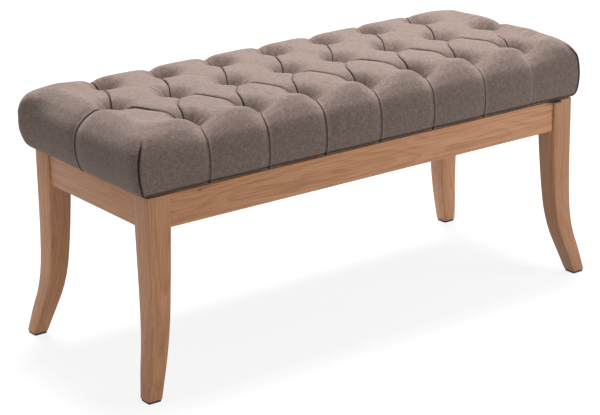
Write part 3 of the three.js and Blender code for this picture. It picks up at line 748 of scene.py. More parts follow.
@dataclass
class Patch:
    """A grid of points on the seat, all arrays rows by columns.

    It holds the points before folding, their places on the flat cloth, the keys that they are sewn
    by, which way the faces look, and which points belong to it.
    """

    base: Array
    cloth: Array
    key: Array
    outward: float = 1.0
    keep: Array | None = None
    # How far the painted shade beside a fold is whole and where it ends, over and under
    dark_over: Pair = (0.6, 1.4)
    dark_under: Pair = (1.2, 2.7)
    shift: Array = field(init=False)
    # How much painted shade each point has, 0 to 1
    fold: Array = field(init=False)

    def __post_init__(self) -> None:
        """Starts with no folds."""
        self.shift = np.zeros_like(self.base)
        self.fold = np.zeros(self.base.shape[:2])

    def normals(self) -> Array:
        """Unit normals of the surface before folding, facing out."""
        rows = np.gradient(self.base, axis=0)
        columns = np.gradient(self.base, axis=1)
        cross = np.cross(rows, columns) * self.outward
        return cross / np.maximum(np.linalg.norm(cross, axis=2, keepdims=True), 1e-9)

    def add_fold(self, shape: FoldShape, distance: Array, fade: Array, side: Side,
                 across: Array, scale: float = 1.0, shade: Shade = (1.0, 1.0)) -> None:
        """Folds the cloth along a line and paints shade along it.

        Args:
            shape: The fold's cross-section.
            distance: From the line, at each point.
            fade: Strength of the fold at each point, 0 to 1.
            side: Whether this patch lies over or under.
            across: Unit directions towards the line's other side.
            scale: Size of the fold.
            shade: How dark the painted shade along it is, and how far that reaches.
        """
        sideways, rise = shape.offset(distance / scale, side)
        strength = (fade * scale)[..., None]
        self.shift += strength * (sideways[..., None] * across + rise[..., None] * self.normals())
        start, reach = self.dark_over if side is Side.OVER else self.dark_under
        depth, spread = shade
        dark = 1.0 - smoothstep(start * scale * spread, reach * scale * spread, distance)
        self.fold = np.maximum(self.fold, depth * dark * fade)

    def final(self) -> Array:
        """The folded points, none of them below the hem."""
        points = self.base + self.shift
        points[..., 2] = np.maximum(points[..., 2], HEM)
        return points


class Quilt:
    """Patches sewn into one mesh wherever their points meet."""

    def __init__(self) -> None:
        """Starts with no cloth."""
        self.keys: list[Array] = []
        self.points: list[Array] = []
        self.cloth: list[Array] = []
        # Painted shade of each patch's points, 0 to 1
        self.fold: list[Array] = []
        self.faces: list[Array] = []
        self.count = 0

    def add(self, patch: Patch) -> Array:
        """Adds a patch's points and faces.

        Args:
            patch: The patch.

        Returns:
            The index of each of its points.
        """
        rows, columns = patch.base.shape[:2]
        index = np.arange(rows * columns).reshape(rows, columns) + self.count
        self.keys.append(patch.key.reshape(-1, 3))
        self.points.append(patch.final().reshape(-1, 3))
        self.cloth.append(patch.cloth.reshape(-1, 2))
        self.fold.append(patch.fold.reshape(-1))
        self.count += rows * columns
        quads = np.stack([index[:-1, :-1], index[1:, :-1], index[1:, 1:], index[:-1, 1:]], axis=-1)
        if patch.keep is None:
            self.add_faces(quads.reshape(-1, 4), patch.outward)
            return index
        keep = patch.keep
        corners = np.stack([keep[:-1, :-1], keep[1:, :-1], keep[1:, 1:], keep[:-1, 1:]], axis=-1)
        self.add_faces(quads[corners.all(axis=-1)], patch.outward)
        for missing in range(4):
            cut = (corners.sum(axis=-1) == 3) & ~corners[..., missing]
            kept = [corner for corner in range(4) if corner != missing]
            self.add_faces(quads[cut][:, kept], patch.outward)
        return index

    def add_faces(self, faces: Array, outward: float) -> None:
        """Adds faces, turned round where the patch is mirrored."""
        if len(faces):
            self.faces.append(faces if outward > 0 else faces[:, ::-1])

    def bridge(self, one: Array, two: Array, share_one: Array, share_two: Array, outward: float) -> None:
        """Joins two lines of points that have different counts.

        Args:
            one: Indices of the first line.
            two: Indices of the second line.
            share_one: Places of the first line's points, from 0 to 1.
            share_two: The same of the second line.
            outward: 1, or -1 to turn the faces round.
        """
        i = j = 0
        faces = []
        while i < len(one) - 1 or j < len(two) - 1:
            step_one = j == len(two) - 1 or (i < len(one) - 1 and share_one[i + 1] <= share_two[j + 1])
            faces.append((one[i], two[j], one[i + 1] if step_one else two[j + 1]))
            i, j = (i + 1, j) if step_one else (i, j + 1)
        self.add_faces(np.array(faces), outward)

    def mesh(self, name: str) -> Object:
        """Sews everything together.

        Args:
            name: The new object's name.

        Returns:
            The object.
        """
        keys = np.floor(np.concatenate(self.keys) / SEWING_GRID + math.sqrt(0.5)).astype(np.int64)
        used = np.zeros(self.count, bool)
        for block in self.faces:
            used[block.ravel()] = True
        merged = np.full(self.count, -1)
        _, first, merged[used] = np.unique(keys[used], axis=0, return_index=True, return_inverse=True)
        count = len(first)
        owner = merged[used]
        points = np.concatenate(self.points)[used]
        mean = np.stack([np.bincount(owner, points[:, k], count) for k in range(3)], axis=1)
        mean /= np.bincount(owner, minlength=count)[:, None]
        fold = np.zeros(count)
        np.maximum.at(fold, owner, np.concatenate(self.fold)[used])
        faces, corners = self.sewn_faces(merged)
        data = bpy.data.meshes.new(name)
        data.from_pydata((mean * MM).tolist(), [], faces)
        layer = data.uv_layers.new(name="cloth")
        layer.data.foreach_set("uv", (corners * MM).astype(np.float32).ravel())
        # The painted shade goes into the fold attribute, which the linen reads
        attribute = data.attributes.new("fold", "FLOAT", "POINT")
        attribute.data.foreach_set("value", fold.astype(np.float32))
        data.validate(clean_customdata=False)
        return link(bpy.data.objects.new(name, data))

    def sewn_faces(self, merged: Array) -> tuple[list[tuple[int, ...]], Array]:
        """The faces once the points are sewn, without those that shrink to a line.

        Args:
            merged: The sewn point that each point has become.

        Returns:
            The faces, and the place on the flat cloth of each of their corners.
        """
        cloth = np.concatenate(self.cloth)
        faces: list[tuple[int, ...]] = []
        loops: list[Array] = []
        for block in self.faces:
            sewn = merged[block]
            ordered = np.sort(sewn, axis=1)
            good = np.all(ordered[:, 1:] != ordered[:, :-1], axis=1)
            faces += [tuple(face) for face in sewn[good].tolist()]
            loops.append(cloth[block[good]].reshape(-1, 2))
            for row in np.flatnonzero(~good):
                face = list(dict.fromkeys(sewn[row].tolist()))
                if len(face) == 3:
                    where = [sewn[row].tolist().index(vertex) for vertex in face]
                    faces.append(tuple(face))
                    loops.append(cloth[block[row][where]])
        return faces, np.concatenate(loops)


class Ring(NamedTuple):
    """One level of a corner, from the long side's pleat to the end's."""

    # Places and directions out of the seat, seen from above
    plan: Array
    out: Array
    # Distances along the level: of its points, of the corner pleat and of the arc's middle
    along: Array
    seam: float
    middle: float


@dataclass
class CornerPanel:
    """The panel round one corner as if it were the front left one, columns by levels."""

    # Points before folding, with the inner rows; places of the crease and the way out from it
    base: Array
    crease: Array
    normal: Array
    # Distances along each level, to the end's pleat, and of the corner pleat
    along: Array
    to_end: Array
    seam: Array
    # Height shares, and directions out of the seat
    share: Array
    out: Array
    # What turns the panel into its own corner, and the height share where the corner pleat ends
    mirror: Array
    ends: float

    @property
    def inner(self) -> int:
        """The count of rows between the crease and the roll."""
        return self.base.shape[1] - self.along.shape[1]

    @property
    def at_left(self) -> bool:
        """Whether it is at the left end."""
        return self.mirror[0] > 0

    @property
    def at_front(self) -> bool:
        """Whether it is at the front."""
        return self.mirror[1] > 0

    @property
    def forward(self) -> Array:
        """Directions round the corner towards the end's pleat."""
        level = np.stack([-np.abs(self.out[..., 1]), np.abs(self.out[..., 0])], axis=-1)
        level = np.concatenate([np.repeat(level[:, :1], self.inner, axis=1), level], axis=1)
        return np.concatenate([level, np.zeros((*level.shape[:2], 1))], axis=-1) * self.mirror

    def whole(self, values: Array, fill: float) -> Array:
        """Adds the inner rows to an array of the levels."""
        return np.concatenate([np.full((values.shape[0], self.inner), fill), values], axis=1)


@dataclass
class TuftedSeat:
    """The seat: foam under one piece of linen, drawn down at 22 blind tufts. Sizes in millimetres."""

    length: float = 1020.0
    depth: float = 391.0
    hem: float = HEM
    top: float = 490.0
    crown: float = 2.0
    tufts: int = 8
    row_share: float = 0.3125
    # Heights of the tufts' bottoms in the outer and middle rows, clear of the ties' discs
    tuft_bottoms: Pair = (451.2, 452.0)
    crater_reach: float = 27.0
    crater_power: float = 2.5
    # The pit in each crater: its share of the depth, reach and power
    pit: Triple = (0.2, 12.0, 1.4)
    # How dark the painted shade in each pit is: front, middle and back row, left to right, and its reach
    pit_shades: tuple[float, ...] = (
        0.85, 0.8, 0.9, 0.95, 0.95, 0.9, 0.85,
        1.0, 0.85, 0.8, 0.75, 0.55, 0.65, 0.7, 0.65,
        0.6, 0.6, 0.6, 0.6, 0.6, 0.6, 0.6,
    )
    pit_spread: float = 22.0
    # Where the front row's painted pit shade is darkest, from the tuft
    pit_middle: Pair = (5.0, 2.0)
    # How far the tufts draw the field down: in the middle, more at the left, more at the front
    field_sag: Triple = (2.4, 1.2, 3.6)
    # How far past the outer tufts that fades, along and across
    field_edge: Pair = (45.0, 48.0)
    # Small wrinkles round each tuft: their count, height, width and reach, and where they begin
    ruckle_count: tuple[int, int] = (3, 6)
    ruckle_height: Pair = (1.2, 2.6)
    ruckle_width: Pair = (2.2, 3.2)
    ruckle_reach: Pair = (30.0, 50.0)
    ruckle_start: Pair = (5.0, 14.0)
    # A second tuck beside a middle tuft's crease: how often, turn from it, depth, width and reach
    tuck_often: float = 0.7
    tuck_turn: Pair = (0.26, 0.36)
    tuck_depth: Pair = (1.8, 2.6)
    tuck_width: float = 2.6
    tuck_reach: Pair = (52.0, 66.0)
    # Where the foam's unevenness begins and is whole, from a tuft
    calm: Pair = (4.0, 14.0)
    crease_depth: float = 3.2
    crease_reach: float = 9.0
    crease_power: float = 1.25
    # Depth halfway along a crease: falling to the right at the front and back, then rising
    crease_middles: tuple[float, float, float, float] = (4.5, 1.0, 2.8, 2.8)
    pleat_depth: float = 8.5
    pleat_reach: float = 12.0
    # How much less and more than that the front pleats reach to their left and right
    pleat_sides: Pair = (0.8, 2.5)
    # Depth of the front pleats between the tufts and the roll
    front_pleat: float = 11.5
    # Strength of each front pleat's fold, left to right, of the back pleats' and of the right end's
    pleat_depths: tuple[float, ...] = (1.0, 1.0, 1.0, 1.0, 1.0, 0.85, 0.5)
    back_pleat: float = 0.5
    right_pleat: float = 0.35
    # How far a pleat draws in the edge, and strength of its fold, by height share
    pleat_sink: tuple[Pair, ...] = (
        (0.0, 0.4), (0.1, 2.0), (0.3, 4.0), (0.5, 5.0), (0.75, 6.0), (0.92, 8.5), (1.0, 8.5),
    )
    pleat_size: tuple[Pair, ...] = ((0.0, 0.4), (0.03, 0.5), (0.2, 0.6), (0.8, 0.75), (1.0, 0.9))
    # Where a fold begins and is whole, from its tuft, and the same of a corner's side pleats
    fold_start: Pair = (2.0, 14.0)
    pleat_start: Pair = (-2.0, 12.0)
    # How dark the painted shade in the folds between tufts is
    fold_dark: float = 0.95
    # Painted shade of each front pleat: how dark over the roll and below it, and how far it reaches, left to
    # right
    pleat_lines: tuple[Triple, ...] = (
        (0.45, 1.0, 1.05), (1.0, 1.0, 1.0), (1.0, 1.0, 1.1), (0.85, 0.9, 0.75), (0.75, 0.7, 0.7),
        (0.7, 0.45, 0.7), (0.3, 0.15, 0.6),
    )
    # Height shares between which that changes
    line_heights: Pair = (0.45, 0.8)
    # How dark the painted shade of the other pleats is and how far that reaches: the back's, the left
    # end's, the right end's, and the back's last one at the left
    back_line: Pair = (0.12, 0.8)
    left_line: Pair = (1.0, 1.3)
    right_line: Pair = (0.2, 0.7)
    back_left_line: Pair = (1.0, 1.0)
    # How far the painted shade reaches at the corners' creases: at the back left, and at most at the others
    corner_spreads: Pair = (1.7, 1.3)
    # Height shares between which the painted shadow line along the front hem ends
    hem_shadow: Pair = (0.054, 0.076)
    fine: float = 3.0
    coarse: float = 3.7
    shelf_rows: int = 11
    fold: FoldShape = FoldShape()
    seed: int = 7
    # Edge of the seat: inset from the hem line, share of the height
    profile: tuple[Pair, ...] = (
        (50.0, 1.0), (40.0, 0.992), (30.0, 0.966), (20.0, 0.918), (12.0, 0.858), (5.0, 0.778),
        (0.0, 0.712), (-3.4, 0.635), (-6.2, 0.52), (-7.2, 0.39), (-6.8, 0.29), (-5.4, 0.185),
        (-3.2, 0.10), (-0.6, 0.042), (3.0, 0.012), (8.0, 0.0),
    )
    # Radius of the corners seen from above, by inset
    corner_radii: tuple[Pair, ...] = (
        (-9.0, 15.0), (0.0, 12.0), (5.0, 13.0), (20.0, 18.0), (50.0, 34.0),
    )
    # How many columns a corner has before its pleat, and after it
    corner_counts: tuple[int, int] = (34, 44)
    corner_lift: float = 3.0
    # Where that lift begins and is whole, from the ends and from the long sides
    lift_from_ends: Pair = (120.0, 40.0)
    lift_from_sides: Pair = (95.0, 30.0)
    # Places where the foam stands higher or lower: x, y, reaches in x and y, and height
    humps: tuple[tuple[float, float, float, float, float], ...] = (
        (474.0, 195.0, 32.0, 55.0, -7.0), (505.0, 30.0, 36.0, 90.0, 7.5), (382.0, 190.0, 20.0, 40.0, 6.0),
        (255.0, 190.0, 18.0, 40.0, 5.0), (128.0, 190.0, 16.0, 40.0, 2.5), (0.0, 190.0, 16.0, 40.0, 2.5),
        (268.0, 190.0, 30.0, 40.0, 2.6), (338.0, 190.0, 30.0, 40.0, 2.0),
        (498.0, -90.0, 32.0, 34.0, 5.5), (498.0, -168.0, 30.0, 32.0, -2.5),
        (-6.0, -153.0, 26.0, 18.0, -4.0), (121.5, -153.0, 26.0, 18.0, -4.0),
    )
    # The same at every front tuft, where x counts from the tuft
    tuft_humps: tuple[tuple[float, float, float, float, float], ...] = (
        (8.0, -156.0, 34.0, 22.0, -5.5), (-4.0, -172.0, 23.0, 22.0, -10.0),
        (30.0, -163.0, 26.0, 22.0, -5.0),
    )
    # Fullness of the corners, front left, front right, back left and back right
    corner_fullness: tuple[float, float, float, float] = (0.7, 0.75, 1.25, 0.75)
    # Pleats of the corners, front left, front right, back left and back right: how far round the
    # corner from the long side, how far they bow past that, and where they end in height
    corner_seams: tuple[Triple, ...] = (
        (0.5, 3.0, 0.88), (0.3, 0.0, 0.95), (0.0, 0.0, 0.84), (0.0, 0.0, 0.84),
    )
    # A corner pleat's size, how far its painted shade reaches, and the same at the front right
    seam_size: float = 0.95
    seam_spreads: Pair = (1.1, 2.2)
    # Height shares over which it fades below its end, and its tuck still shows above it
    seam_fade: Pair = (0.14, 0.02)
    # Depth, reach and power of that tuck
    seam_tuck: Triple = (2.2, 9.0, 1.3)
    # How far the corners stand out past the profile, by height share, and how far round that reaches
    corner_puff: tuple[Pair, ...] = (
        (0.0, 0.0), (0.05, 2.5), (0.1, 4.0), (0.3, 4.0), (0.52, 4.5), (0.712, 8.5), (0.778, 11.5),
        (0.858, 12.5), (0.918, 9.0), (0.966, 4.5), (0.992, 2.0), (1.0, 0.0),
    )
    puff_reach: float = 48.0
    # What each side swells out past the profile, by height share, and how far its pleats lean over
    belly: tuple[Pair, ...] = ((0.0, 0.0), (0.08, 0.3), (0.3, 0.85), (0.6, 1.0), (0.85, 0.6), (1.0, 0.0))
    swell_left: float = 8.5
    swell_right: float = -1.0
    swell_front: float = -1.0
    swell_back: float = 3.5
    lean_front: float = 10.0
    lean_back: float = -10.0
    lean_end: float = 6.0
    # Where the lean begins and is whole: from the tufts at the front and at the back, and in height
    # shares at the back and at the ends
    lean_run: Pair = (0.0, 26.0)
    back_lean_run: Pair = (4.0, 46.0)
    back_lean_heights: Pair = (0.0, 0.35)
    end_lean_heights: Pair = (0.62, 1.0)
    # How far each tuft was drawn off the lattice: front, middle and back row, left to right
    tuft_shifts: tuple[Pair, ...] = (
        (9.0, -9.0), (10.0, -12.0), (5.0, -8.0), (9.0, -12.0), (10.0, -12.0), (5.0, -7.0), (11.0, -12.0),
        (0.0, -5.0), (1.0, -3.0), (0.0, -3.0), (1.0, -4.0), (-4.0, 2.0), (-4.0, 0.0), (-3.0, -1.0),
        (-5.0, 3.0),
        (0.0, 0.0), (2.0, 0.0), (0.0, 0.0), (-2.0, 0.0), (-4.0, 0.0), (-9.0, 1.0), (-10.0, 1.0),
    )
    shift_reach: float = 58.0
    # Where those shifts begin and are whole, from the edge
    edge_hold: Pair = (5.0, 45.0)
    # How far the cloth was drawn to the right: in front of each middle tuft but the first, where x
    # counts from the tuft, and behind the first two. Each is x, y and how far.
    front_bend: Triple = (-19.0, -37.0, 10.0)
    back_bends: tuple[Triple, ...] = ((-399.0, 88.0, -8.0), (-271.0, 88.0, -9.0))
    bend_reach: float = 23.0
    # Distance down the edge over which the weave turns from the top's lie to the sides'
    cloth_turn: float = 40.0
    # The cloth under the board: its width, its thickness, the first turn at the hem, and the gap left
    # inside it
    flange: float = 18.0
    cloth_thickness: float = 1.2
    hem_turn: float = 3.0
    inner_gap: float = 1.6
    # How far from the corners it runs round them, how high the hem's edges are looked for, and the
    # board's top
    hem_corner: float = 30.0
    hem_height: float = 4.0
    board_top: float = 384.2

    def __post_init__(self) -> None:
        """Works out the lattice of tufts and its folds."""
        self.pitch = self.length / self.tufts
        self.row = self.depth * self.row_share
        self.half = (self.length / 2, self.depth / 2)
        self.edge = np.array([self.pitch / 2, self.row])
        self.crease_length = float(np.hypot(*self.edge))
        self.width = self.pitch * self.row / self.crease_length
        outer = (np.arange(self.tufts - 1) - (self.tufts - 2) / 2) * self.pitch
        middle = (np.arange(self.tufts) - (self.tufts - 1) / 2) * self.pitch
        self.rows = {-1: outer, 0: middle, 1: outer}
        self.places = np.array([(x, side * self.row) for side, xs in self.rows.items() for x in xs])
        at_tufts = ((x + beside, *rest) for beside, *rest in self.tuft_humps for x in outer)
        self.rises = [*self.humps, *at_tufts]
        self.random = np.random.default_rng(self.seed)
        self.shares = self.fold_grid()
        self.ruck = self.ruckles()
        self.levels = self.edge_levels()
        bottoms = np.where(self.places[:, 1] == 0.0, self.tuft_bottoms[1], self.tuft_bottoms[0])
        self.drops = self.rim(*self.places.T) - bottoms - self.crease_hollow(*self.places.T)

    def fold_grid(self) -> Array:
        """Shares of a panel's side: close together at its folds, then even."""
        near = np.array(self.fold.steps[:-1])
        middle = self.width / 2
        count = round((middle - near[-1]) / self.fine)
        half = np.concatenate([near, np.linspace(near[-1], middle, count + 1)[1:]]) / self.width
        return np.concatenate([half, 1.0 - half[-2::-1]])

    def ruckles(self) -> Array:
        """Draws the small radial wrinkles at the tufts.

        Returns:
            A row for each: tuft, angle, height, width at 20 mm and reach.
        """
        rows = []
        draw = self.random
        beside = math.atan2(self.edge[1], -self.edge[0])
        for tuft, (_, y) in enumerate(self.places):
            for _ in range(draw.integers(*self.ruckle_count)):
                angle = draw.uniform(0, math.tau)
                height = draw.uniform(*self.ruckle_height) * draw.choice((-1.0, 1.0))
                width = draw.uniform(*self.ruckle_width)
                rows.append((tuft, angle, height, width, draw.uniform(*self.ruckle_reach)))
            # A second tuck beside the crease that comes down from the left
            if y == 0.0 and draw.uniform() < self.tuck_often:
                turn = beside - draw.uniform(*self.tuck_turn)
                depth = draw.uniform(*self.tuck_depth)
                rows.append((tuft, turn, -depth, self.tuck_width, draw.uniform(*self.tuck_reach)))
        return np.array(rows)

    def crease_hollow(self, x: Array, y: Array) -> Array:
        """Depth of the creases between the tufts and of the pleats beyond them.

        Args:
            x: Places along the seat.
            y: Places across it.

        Returns:
            The depths.
        """
        last = self.rows[0][-1] / self.pitch
        parts = []
        for slope, (front, back) in ((-1.0, self.crease_middles[:2]), (1.0, self.crease_middles[2:])):
            step = np.array([self.edge[0], slope * self.edge[1]])
            lines = (x * self.edge[1] - slope * y * self.edge[0]) / (self.crease_length * self.width)
            line = np.clip(np.round(lines - 0.5) + 0.5, -last, last)
            along = ((x - line * self.pitch) * step[0] + y * step[1]) / self.crease_length**2
            t = np.clip(along, np.where(line == -last, 0.0, -1.0), np.where(line == last, 0.0, 1.0))
            away = np.hypot(x - line * self.pitch - t * step[0], y - t * step[1])
            middle = np.where(t * slope < 0, front, back)
            share = (2.0 * np.abs(t) - 1.0) ** 2
            parts.append((middle + (self.crease_depth - middle) * share, away / self.crease_reach))
        ax, ay = np.abs(x), np.abs(y)
        nearest = np.round(np.clip(x, self.rows[1][0], self.rows[1][-1]) / self.pitch) * self.pitch
        beyond = (np.hypot(self.beside_pleat(x - nearest, y < 0), np.minimum(ay - self.row, 0.0)),
                  np.hypot(ay, np.minimum(ax - self.rows[0][-1], 0.0)))
        depths = (np.where(y < 0, self.front_pleat, self.pleat_depth), self.pleat_depth)
        parts += [(depth, away / self.pleat_reach) for depth, away in zip(depths, beyond)]
        return np.cbrt(sum((depth * np.exp(-(away**self.crease_power))) ** 3 for depth, away in parts))

    def beside_pleat(self, offset: Array, front: Array | bool) -> Array:
        """Distance from a long side's pleat, drawn out to its right and in to its left at the front.

        Args:
            offset: How far to the right of the pleat.
            front: Whether that is at the front.

        Returns:
            The distances.
        """
        left, right = self.pleat_sides
        return np.where(front, np.where(offset > 0, offset / right, -offset / left), np.abs(offset))

    def undulation(self, x: Array, y: Array) -> Array:
        """A slow unevenness of hand-filled foam, under a millimetre."""
        return (0.45 * np.sin(x / 31.0 + 1.3) * np.sin(y / 27.0 + 0.4)
                + 0.35 * np.sin(x / 17.0 + y / 23.0 + 2.1) + 0.25 * np.sin(x / 11.0 - y / 13.0))

    def rim(self, x: Array, y: Array) -> Array:
        """Height of the seat before tufting: crowned, drawn down in the field and full at the corners.

        Args:
            x: Places along the seat.
            y: Places across it.

        Returns:
            The heights.
        """
        ax, ay = np.abs(x), np.abs(y)
        ends, sides = ((half - start, half - whole) for half, (start, whole) in
                       zip(self.half, (self.lift_from_ends, self.lift_from_sides)))
        corner = smoothstep(*ends, ax) * smoothstep(*sides, ay)
        last = self.rows[0][-1]
        field = ((1.0 - smoothstep(self.row, self.row + self.field_edge[1], ay))
                 * (1.0 - smoothstep(last, last + self.field_edge[0], ax)))
        crown = self.crown * np.clip(1.0 - (2.0 * y / self.depth) ** 2, 0.0, 1.0)
        middle, left, front = self.field_sag
        sag = middle - left * 2.0 * x / self.length + front * np.clip(-y / self.row, 0.0, 1.0)
        foam = sum(height * np.exp(-(((x - at_x) / reach_x) ** 2) - ((y - at_y) / reach_y) ** 2)
                   for at_x, at_y, reach_x, reach_y, height in self.rises)
        return self.top + self.corner_lift * corner - sag * field + crown + foam

    def surface_height(self, x: Array, y: Array) -> Array:
        """Height of the tufted top.

        Args:
            x: Places along the seat.
            y: Places across it.

        Returns:
            The heights.
        """
        crease = self.crease_hollow(x, y)
        dx = x[..., None] - self.places[:, 0]
        dy = y[..., None] - self.places[:, 1]
        away = np.hypot(dx, dy)
        nearest = away.min(axis=-1)
        drop = self.drops[away.argmin(axis=-1)]
        share, reach, power = self.pit
        crater = drop * ((1.0 - share) * np.exp(-((nearest / self.crater_reach) ** self.crater_power))
                         + share * np.exp(-((nearest / reach) ** power)))
        calm = smoothstep(*self.calm, nearest)
        return self.rim(x, y) - crease - crater + calm * self.undulation(x, y) + self.wrinkle(dx, dy, away)

    def wrinkle(self, dx: Array, dy: Array, away: Array) -> Array:
        """Height of the small radial wrinkles round the tufts.

        Args:
            dx: Distance of each point from each tuft along the seat.
            dy: The same across it.
            away: The straight distance.

        Returns:
            The heights.
        """
        total = np.zeros(away.shape[:-1])
        bearing = np.arctan2(dy, dx)
        for tuft, angle, height, width, reach in self.ruck:
            tuft = int(tuft)
            turn = np.abs(np.mod(bearing[..., tuft] - angle + math.pi, math.tau) - math.pi)
            r = away[..., tuft]
            body = np.exp(-((turn * r / (width * (0.6 + r / 50.0))) ** 2))
            body = body * smoothstep(*self.ruckle_start, r)
            total += height * body * (1.0 - smoothstep(0.5 * reach, reach, r)) * (turn < 1.2)
        return total

    def edge_levels(self) -> Array:
        """The seat's edge from the top of the roll to the hem, evenly spaced.

        Returns:
            Inset, height share and distance along the edge, one row for each level.
        """
        rough = np.array(self.profile)
        path = []
        for i in range(len(rough) - 1):
            before = rough[max(i - 1, 0)]
            after = rough[min(i + 2, len(rough) - 1)]
            t = np.linspace(0, 1, 12, endpoint=False)[:, None]
            p0, p1, p2, p3 = before, rough[i], rough[i + 1], after
            path.append(0.5 * (2 * p1 + (p2 - p0) * t + (2 * p0 - 5 * p1 + 4 * p2 - p3) * t**2
                               + (3 * p1 - p0 - 3 * p2 + p3) * t**3))
        path = np.concatenate([*path, rough[-1:]])
        scale = np.array([1.0, self.top - self.hem])
        steps = np.linalg.norm(np.diff(path * scale, axis=0), axis=1)
        along = np.concatenate([[0.0], np.cumsum(steps)])
        count = round(along[-1] / self.coarse)
        even = np.linspace(0, along[-1], count + 1)
        return np.stack([np.interp(even, along, path[:, 0]), np.interp(even, along, path[:, 1]), even], axis=1)

    def shelf_shares(self, room: Array) -> Array:
        """Rows between a crease and the roll of the edge: close together at the crease.

        Args:
            room: Distance from the crease to the roll, at each column.

        Returns:
            Shares of that distance, columns by rows, from the crease outwards.
        """
        near = np.array(self.fold.steps[1:-2])[None, :] / room[:, None]
        rest = np.linspace(0.0, 1.0, self.shelf_rows + 1)[1:-1]
        last = near[:, -1:]
        return np.concatenate([near, last + (1.0 - last) * rest], axis=1)

    def shelf_room(self) -> float:
        """Distance from the outer tufts' crease to the roll of the edge, where a pleat starts."""
        return (self.half[1] - self.row - self.levels[0, 0]) * self.edge[0] / self.crease_length

    # Field panels

    def diamond(self, left: Array, keep: Callable[[Array, Array], Array] | None,
                sides: dict[str, tuple[Side, Crease]]) -> Patch:
        """A panel between four tufts, or the half of one.

        Args:
            left: The panel's left corner.
            keep: Which of its points belong to it, or None for all.
            sides: How it lies at each fold and which crease that is: a0, a1, b0 and b1.

        Returns:
            The patch.
        """
        a, b = np.meshgrid(self.shares, self.shares, indexing="ij")
        x = left[0] + (a + b) * self.edge[0]
        y = left[1] + (a - b) * self.edge[1]
        base = np.stack([x, y, self.surface_height(x, y)], axis=-1)
        key = np.stack([x, y, np.full_like(x, KEY_HEIGHT)], axis=-1)
        patch = Patch(base, np.stack([x, y], axis=-1), key, -1.0, None if keep is None else keep(a, b))
        toward_a = np.array([self.edge[1], self.edge[0], 0.0]) / self.crease_length
        toward_b = np.array([self.edge[1], -self.edge[0], 0.0]) / self.crease_length
        lines = {"a0": (a, b, -toward_a), "a1": (1 - a, b, toward_a),
                 "b0": (b, a, -toward_b), "b1": (1 - b, a, toward_b)}
        for name, (side, crease) in sides.items():
            off, along, across = lines[name]
            run = np.minimum(along, 1 - along) * self.crease_length
            from_middle = along if (name in ("a0", "b0")) == (left[1] == 0.0) else 1 - along
            fade = crease.strength(from_middle) * smoothstep(*self.fold_start, run)
            patch.add_fold(self.fold, off * self.width, fade, side, across,
                           shade=(self.fold_dark, crease.spread(from_middle)))
        return patch

    def add_field(self, quilt: Quilt) -> list[Array]:
        """Adds the panels inside the outer tufts.

        Args:
            quilt: The mesh under construction.

        Returns:
            Indices of the whole panels, left to right.
        """
        over, under = Side.OVER, Side.UNDER
        wholes = []
        for x in self.rows[0][:-1]:
            rising = Crease.RISING_LAST if x == self.rows[0][-2] else Crease.RISING_FRONT
            sides = {"a0": (under, Crease.FALLING_FRONT), "a1": (over, Crease.FALLING_BACK),
                     "b0": (over, Crease.RISING_BACK), "b1": (under, rising)}
            wholes.append(quilt.add(self.diamond(np.array([x, 0.0]), None, sides)))
        for x in self.rows[1][:-1]:
            front = {"a1": (over, Crease.FALLING_FRONT), "b0": (over, Crease.RISING_FRONT)}
            back = {"a0": (under, Crease.FALLING_BACK), "b1": (under, Crease.RISING_BACK)}
            quilt.add(self.diamond(np.array([x, -self.row]), lambda a, b: a >= b - TINY, front))
            quilt.add(self.diamond(np.array([x, self.row]), lambda a, b: a <= b + TINY, back))
        return wholes

    # Edge of the seat

    def edge_patch(self, sign: float, left: float) -> Patch:
        """The edge between two pleats of a long side, from the tufts to the hem.

        Args:
            sign: -1 at the front, 1 at the back.
            left: Place of the left pleat.

        Returns:
            The patch.
        """
        x_line = left + self.shares * self.pitch
        start = self.half[1] - self.row
        shelf = self.shelf_shares(np.array([self.shelf_room()]))[0]
        inner = start + np.append(0.0, shelf) * (self.levels[0, 0] - start)
        inset = np.concatenate([inner, self.levels[:, 0]])
        share = np.concatenate([np.ones(len(inner)), self.levels[:, 1]])
        x, inset_grid = np.meshgrid(x_line, inset, indexing="ij")
        share_grid = np.broadcast_to(share, x.shape)
        y = sign * (self.half[1] - inset_grid)
        base = np.stack([x, y, self.surface_height(x, y)], axis=-1)
        rows = len(inner)
        near_pleat = np.minimum(self.beside_pleat(x - left, sign < 0),
                                self.beside_pleat(x - left - self.pitch, sign < 0))[:, rows:]
        out = np.broadcast_to(np.array([0.0, sign]), (*near_pleat.shape, 2))
        base[:, rows:] = self.rolled(base[:, rows:, :2], out, near_pleat)
        run = np.concatenate([start - inner, start - self.levels[0, 0] + self.levels[:, 2]])
        base[..., 0] += self.lean(sign, run, share)[None, :]
        cloth = np.stack([x, sign * (self.row + np.broadcast_to(run, x.shape))], axis=-1)
        patch = Patch(base, cloth, np.stack([x, y, KEY_HEIGHT * share_grid], axis=-1), -sign)
        fade = smoothstep(*self.fold_start, np.broadcast_to(run, x.shape))
        fade = fade * read_off(self.pleat_size, share_grid)
        first = round((left - self.rows[1][0]) / self.pitch)
        for pleat, off, side, way in ((first, x - left, Side.UNDER, -1.0),
                                      (first + 1, left + self.pitch - x, Side.OVER, 1.0)):
            depth = self.back_pleat if sign > 0 else self.pleat_depths[pleat]
            patch.add_fold(self.fold, off, depth * fade, side, np.array([way, 0.0, 0.0]),
                           shade=self.pleat_line(sign, pleat, share_grid))
        # A painted shadow line along the front hem
        if sign < 0:
            patch.fold = np.maximum(patch.fold, self.hem_shade(share_grid))
        return patch

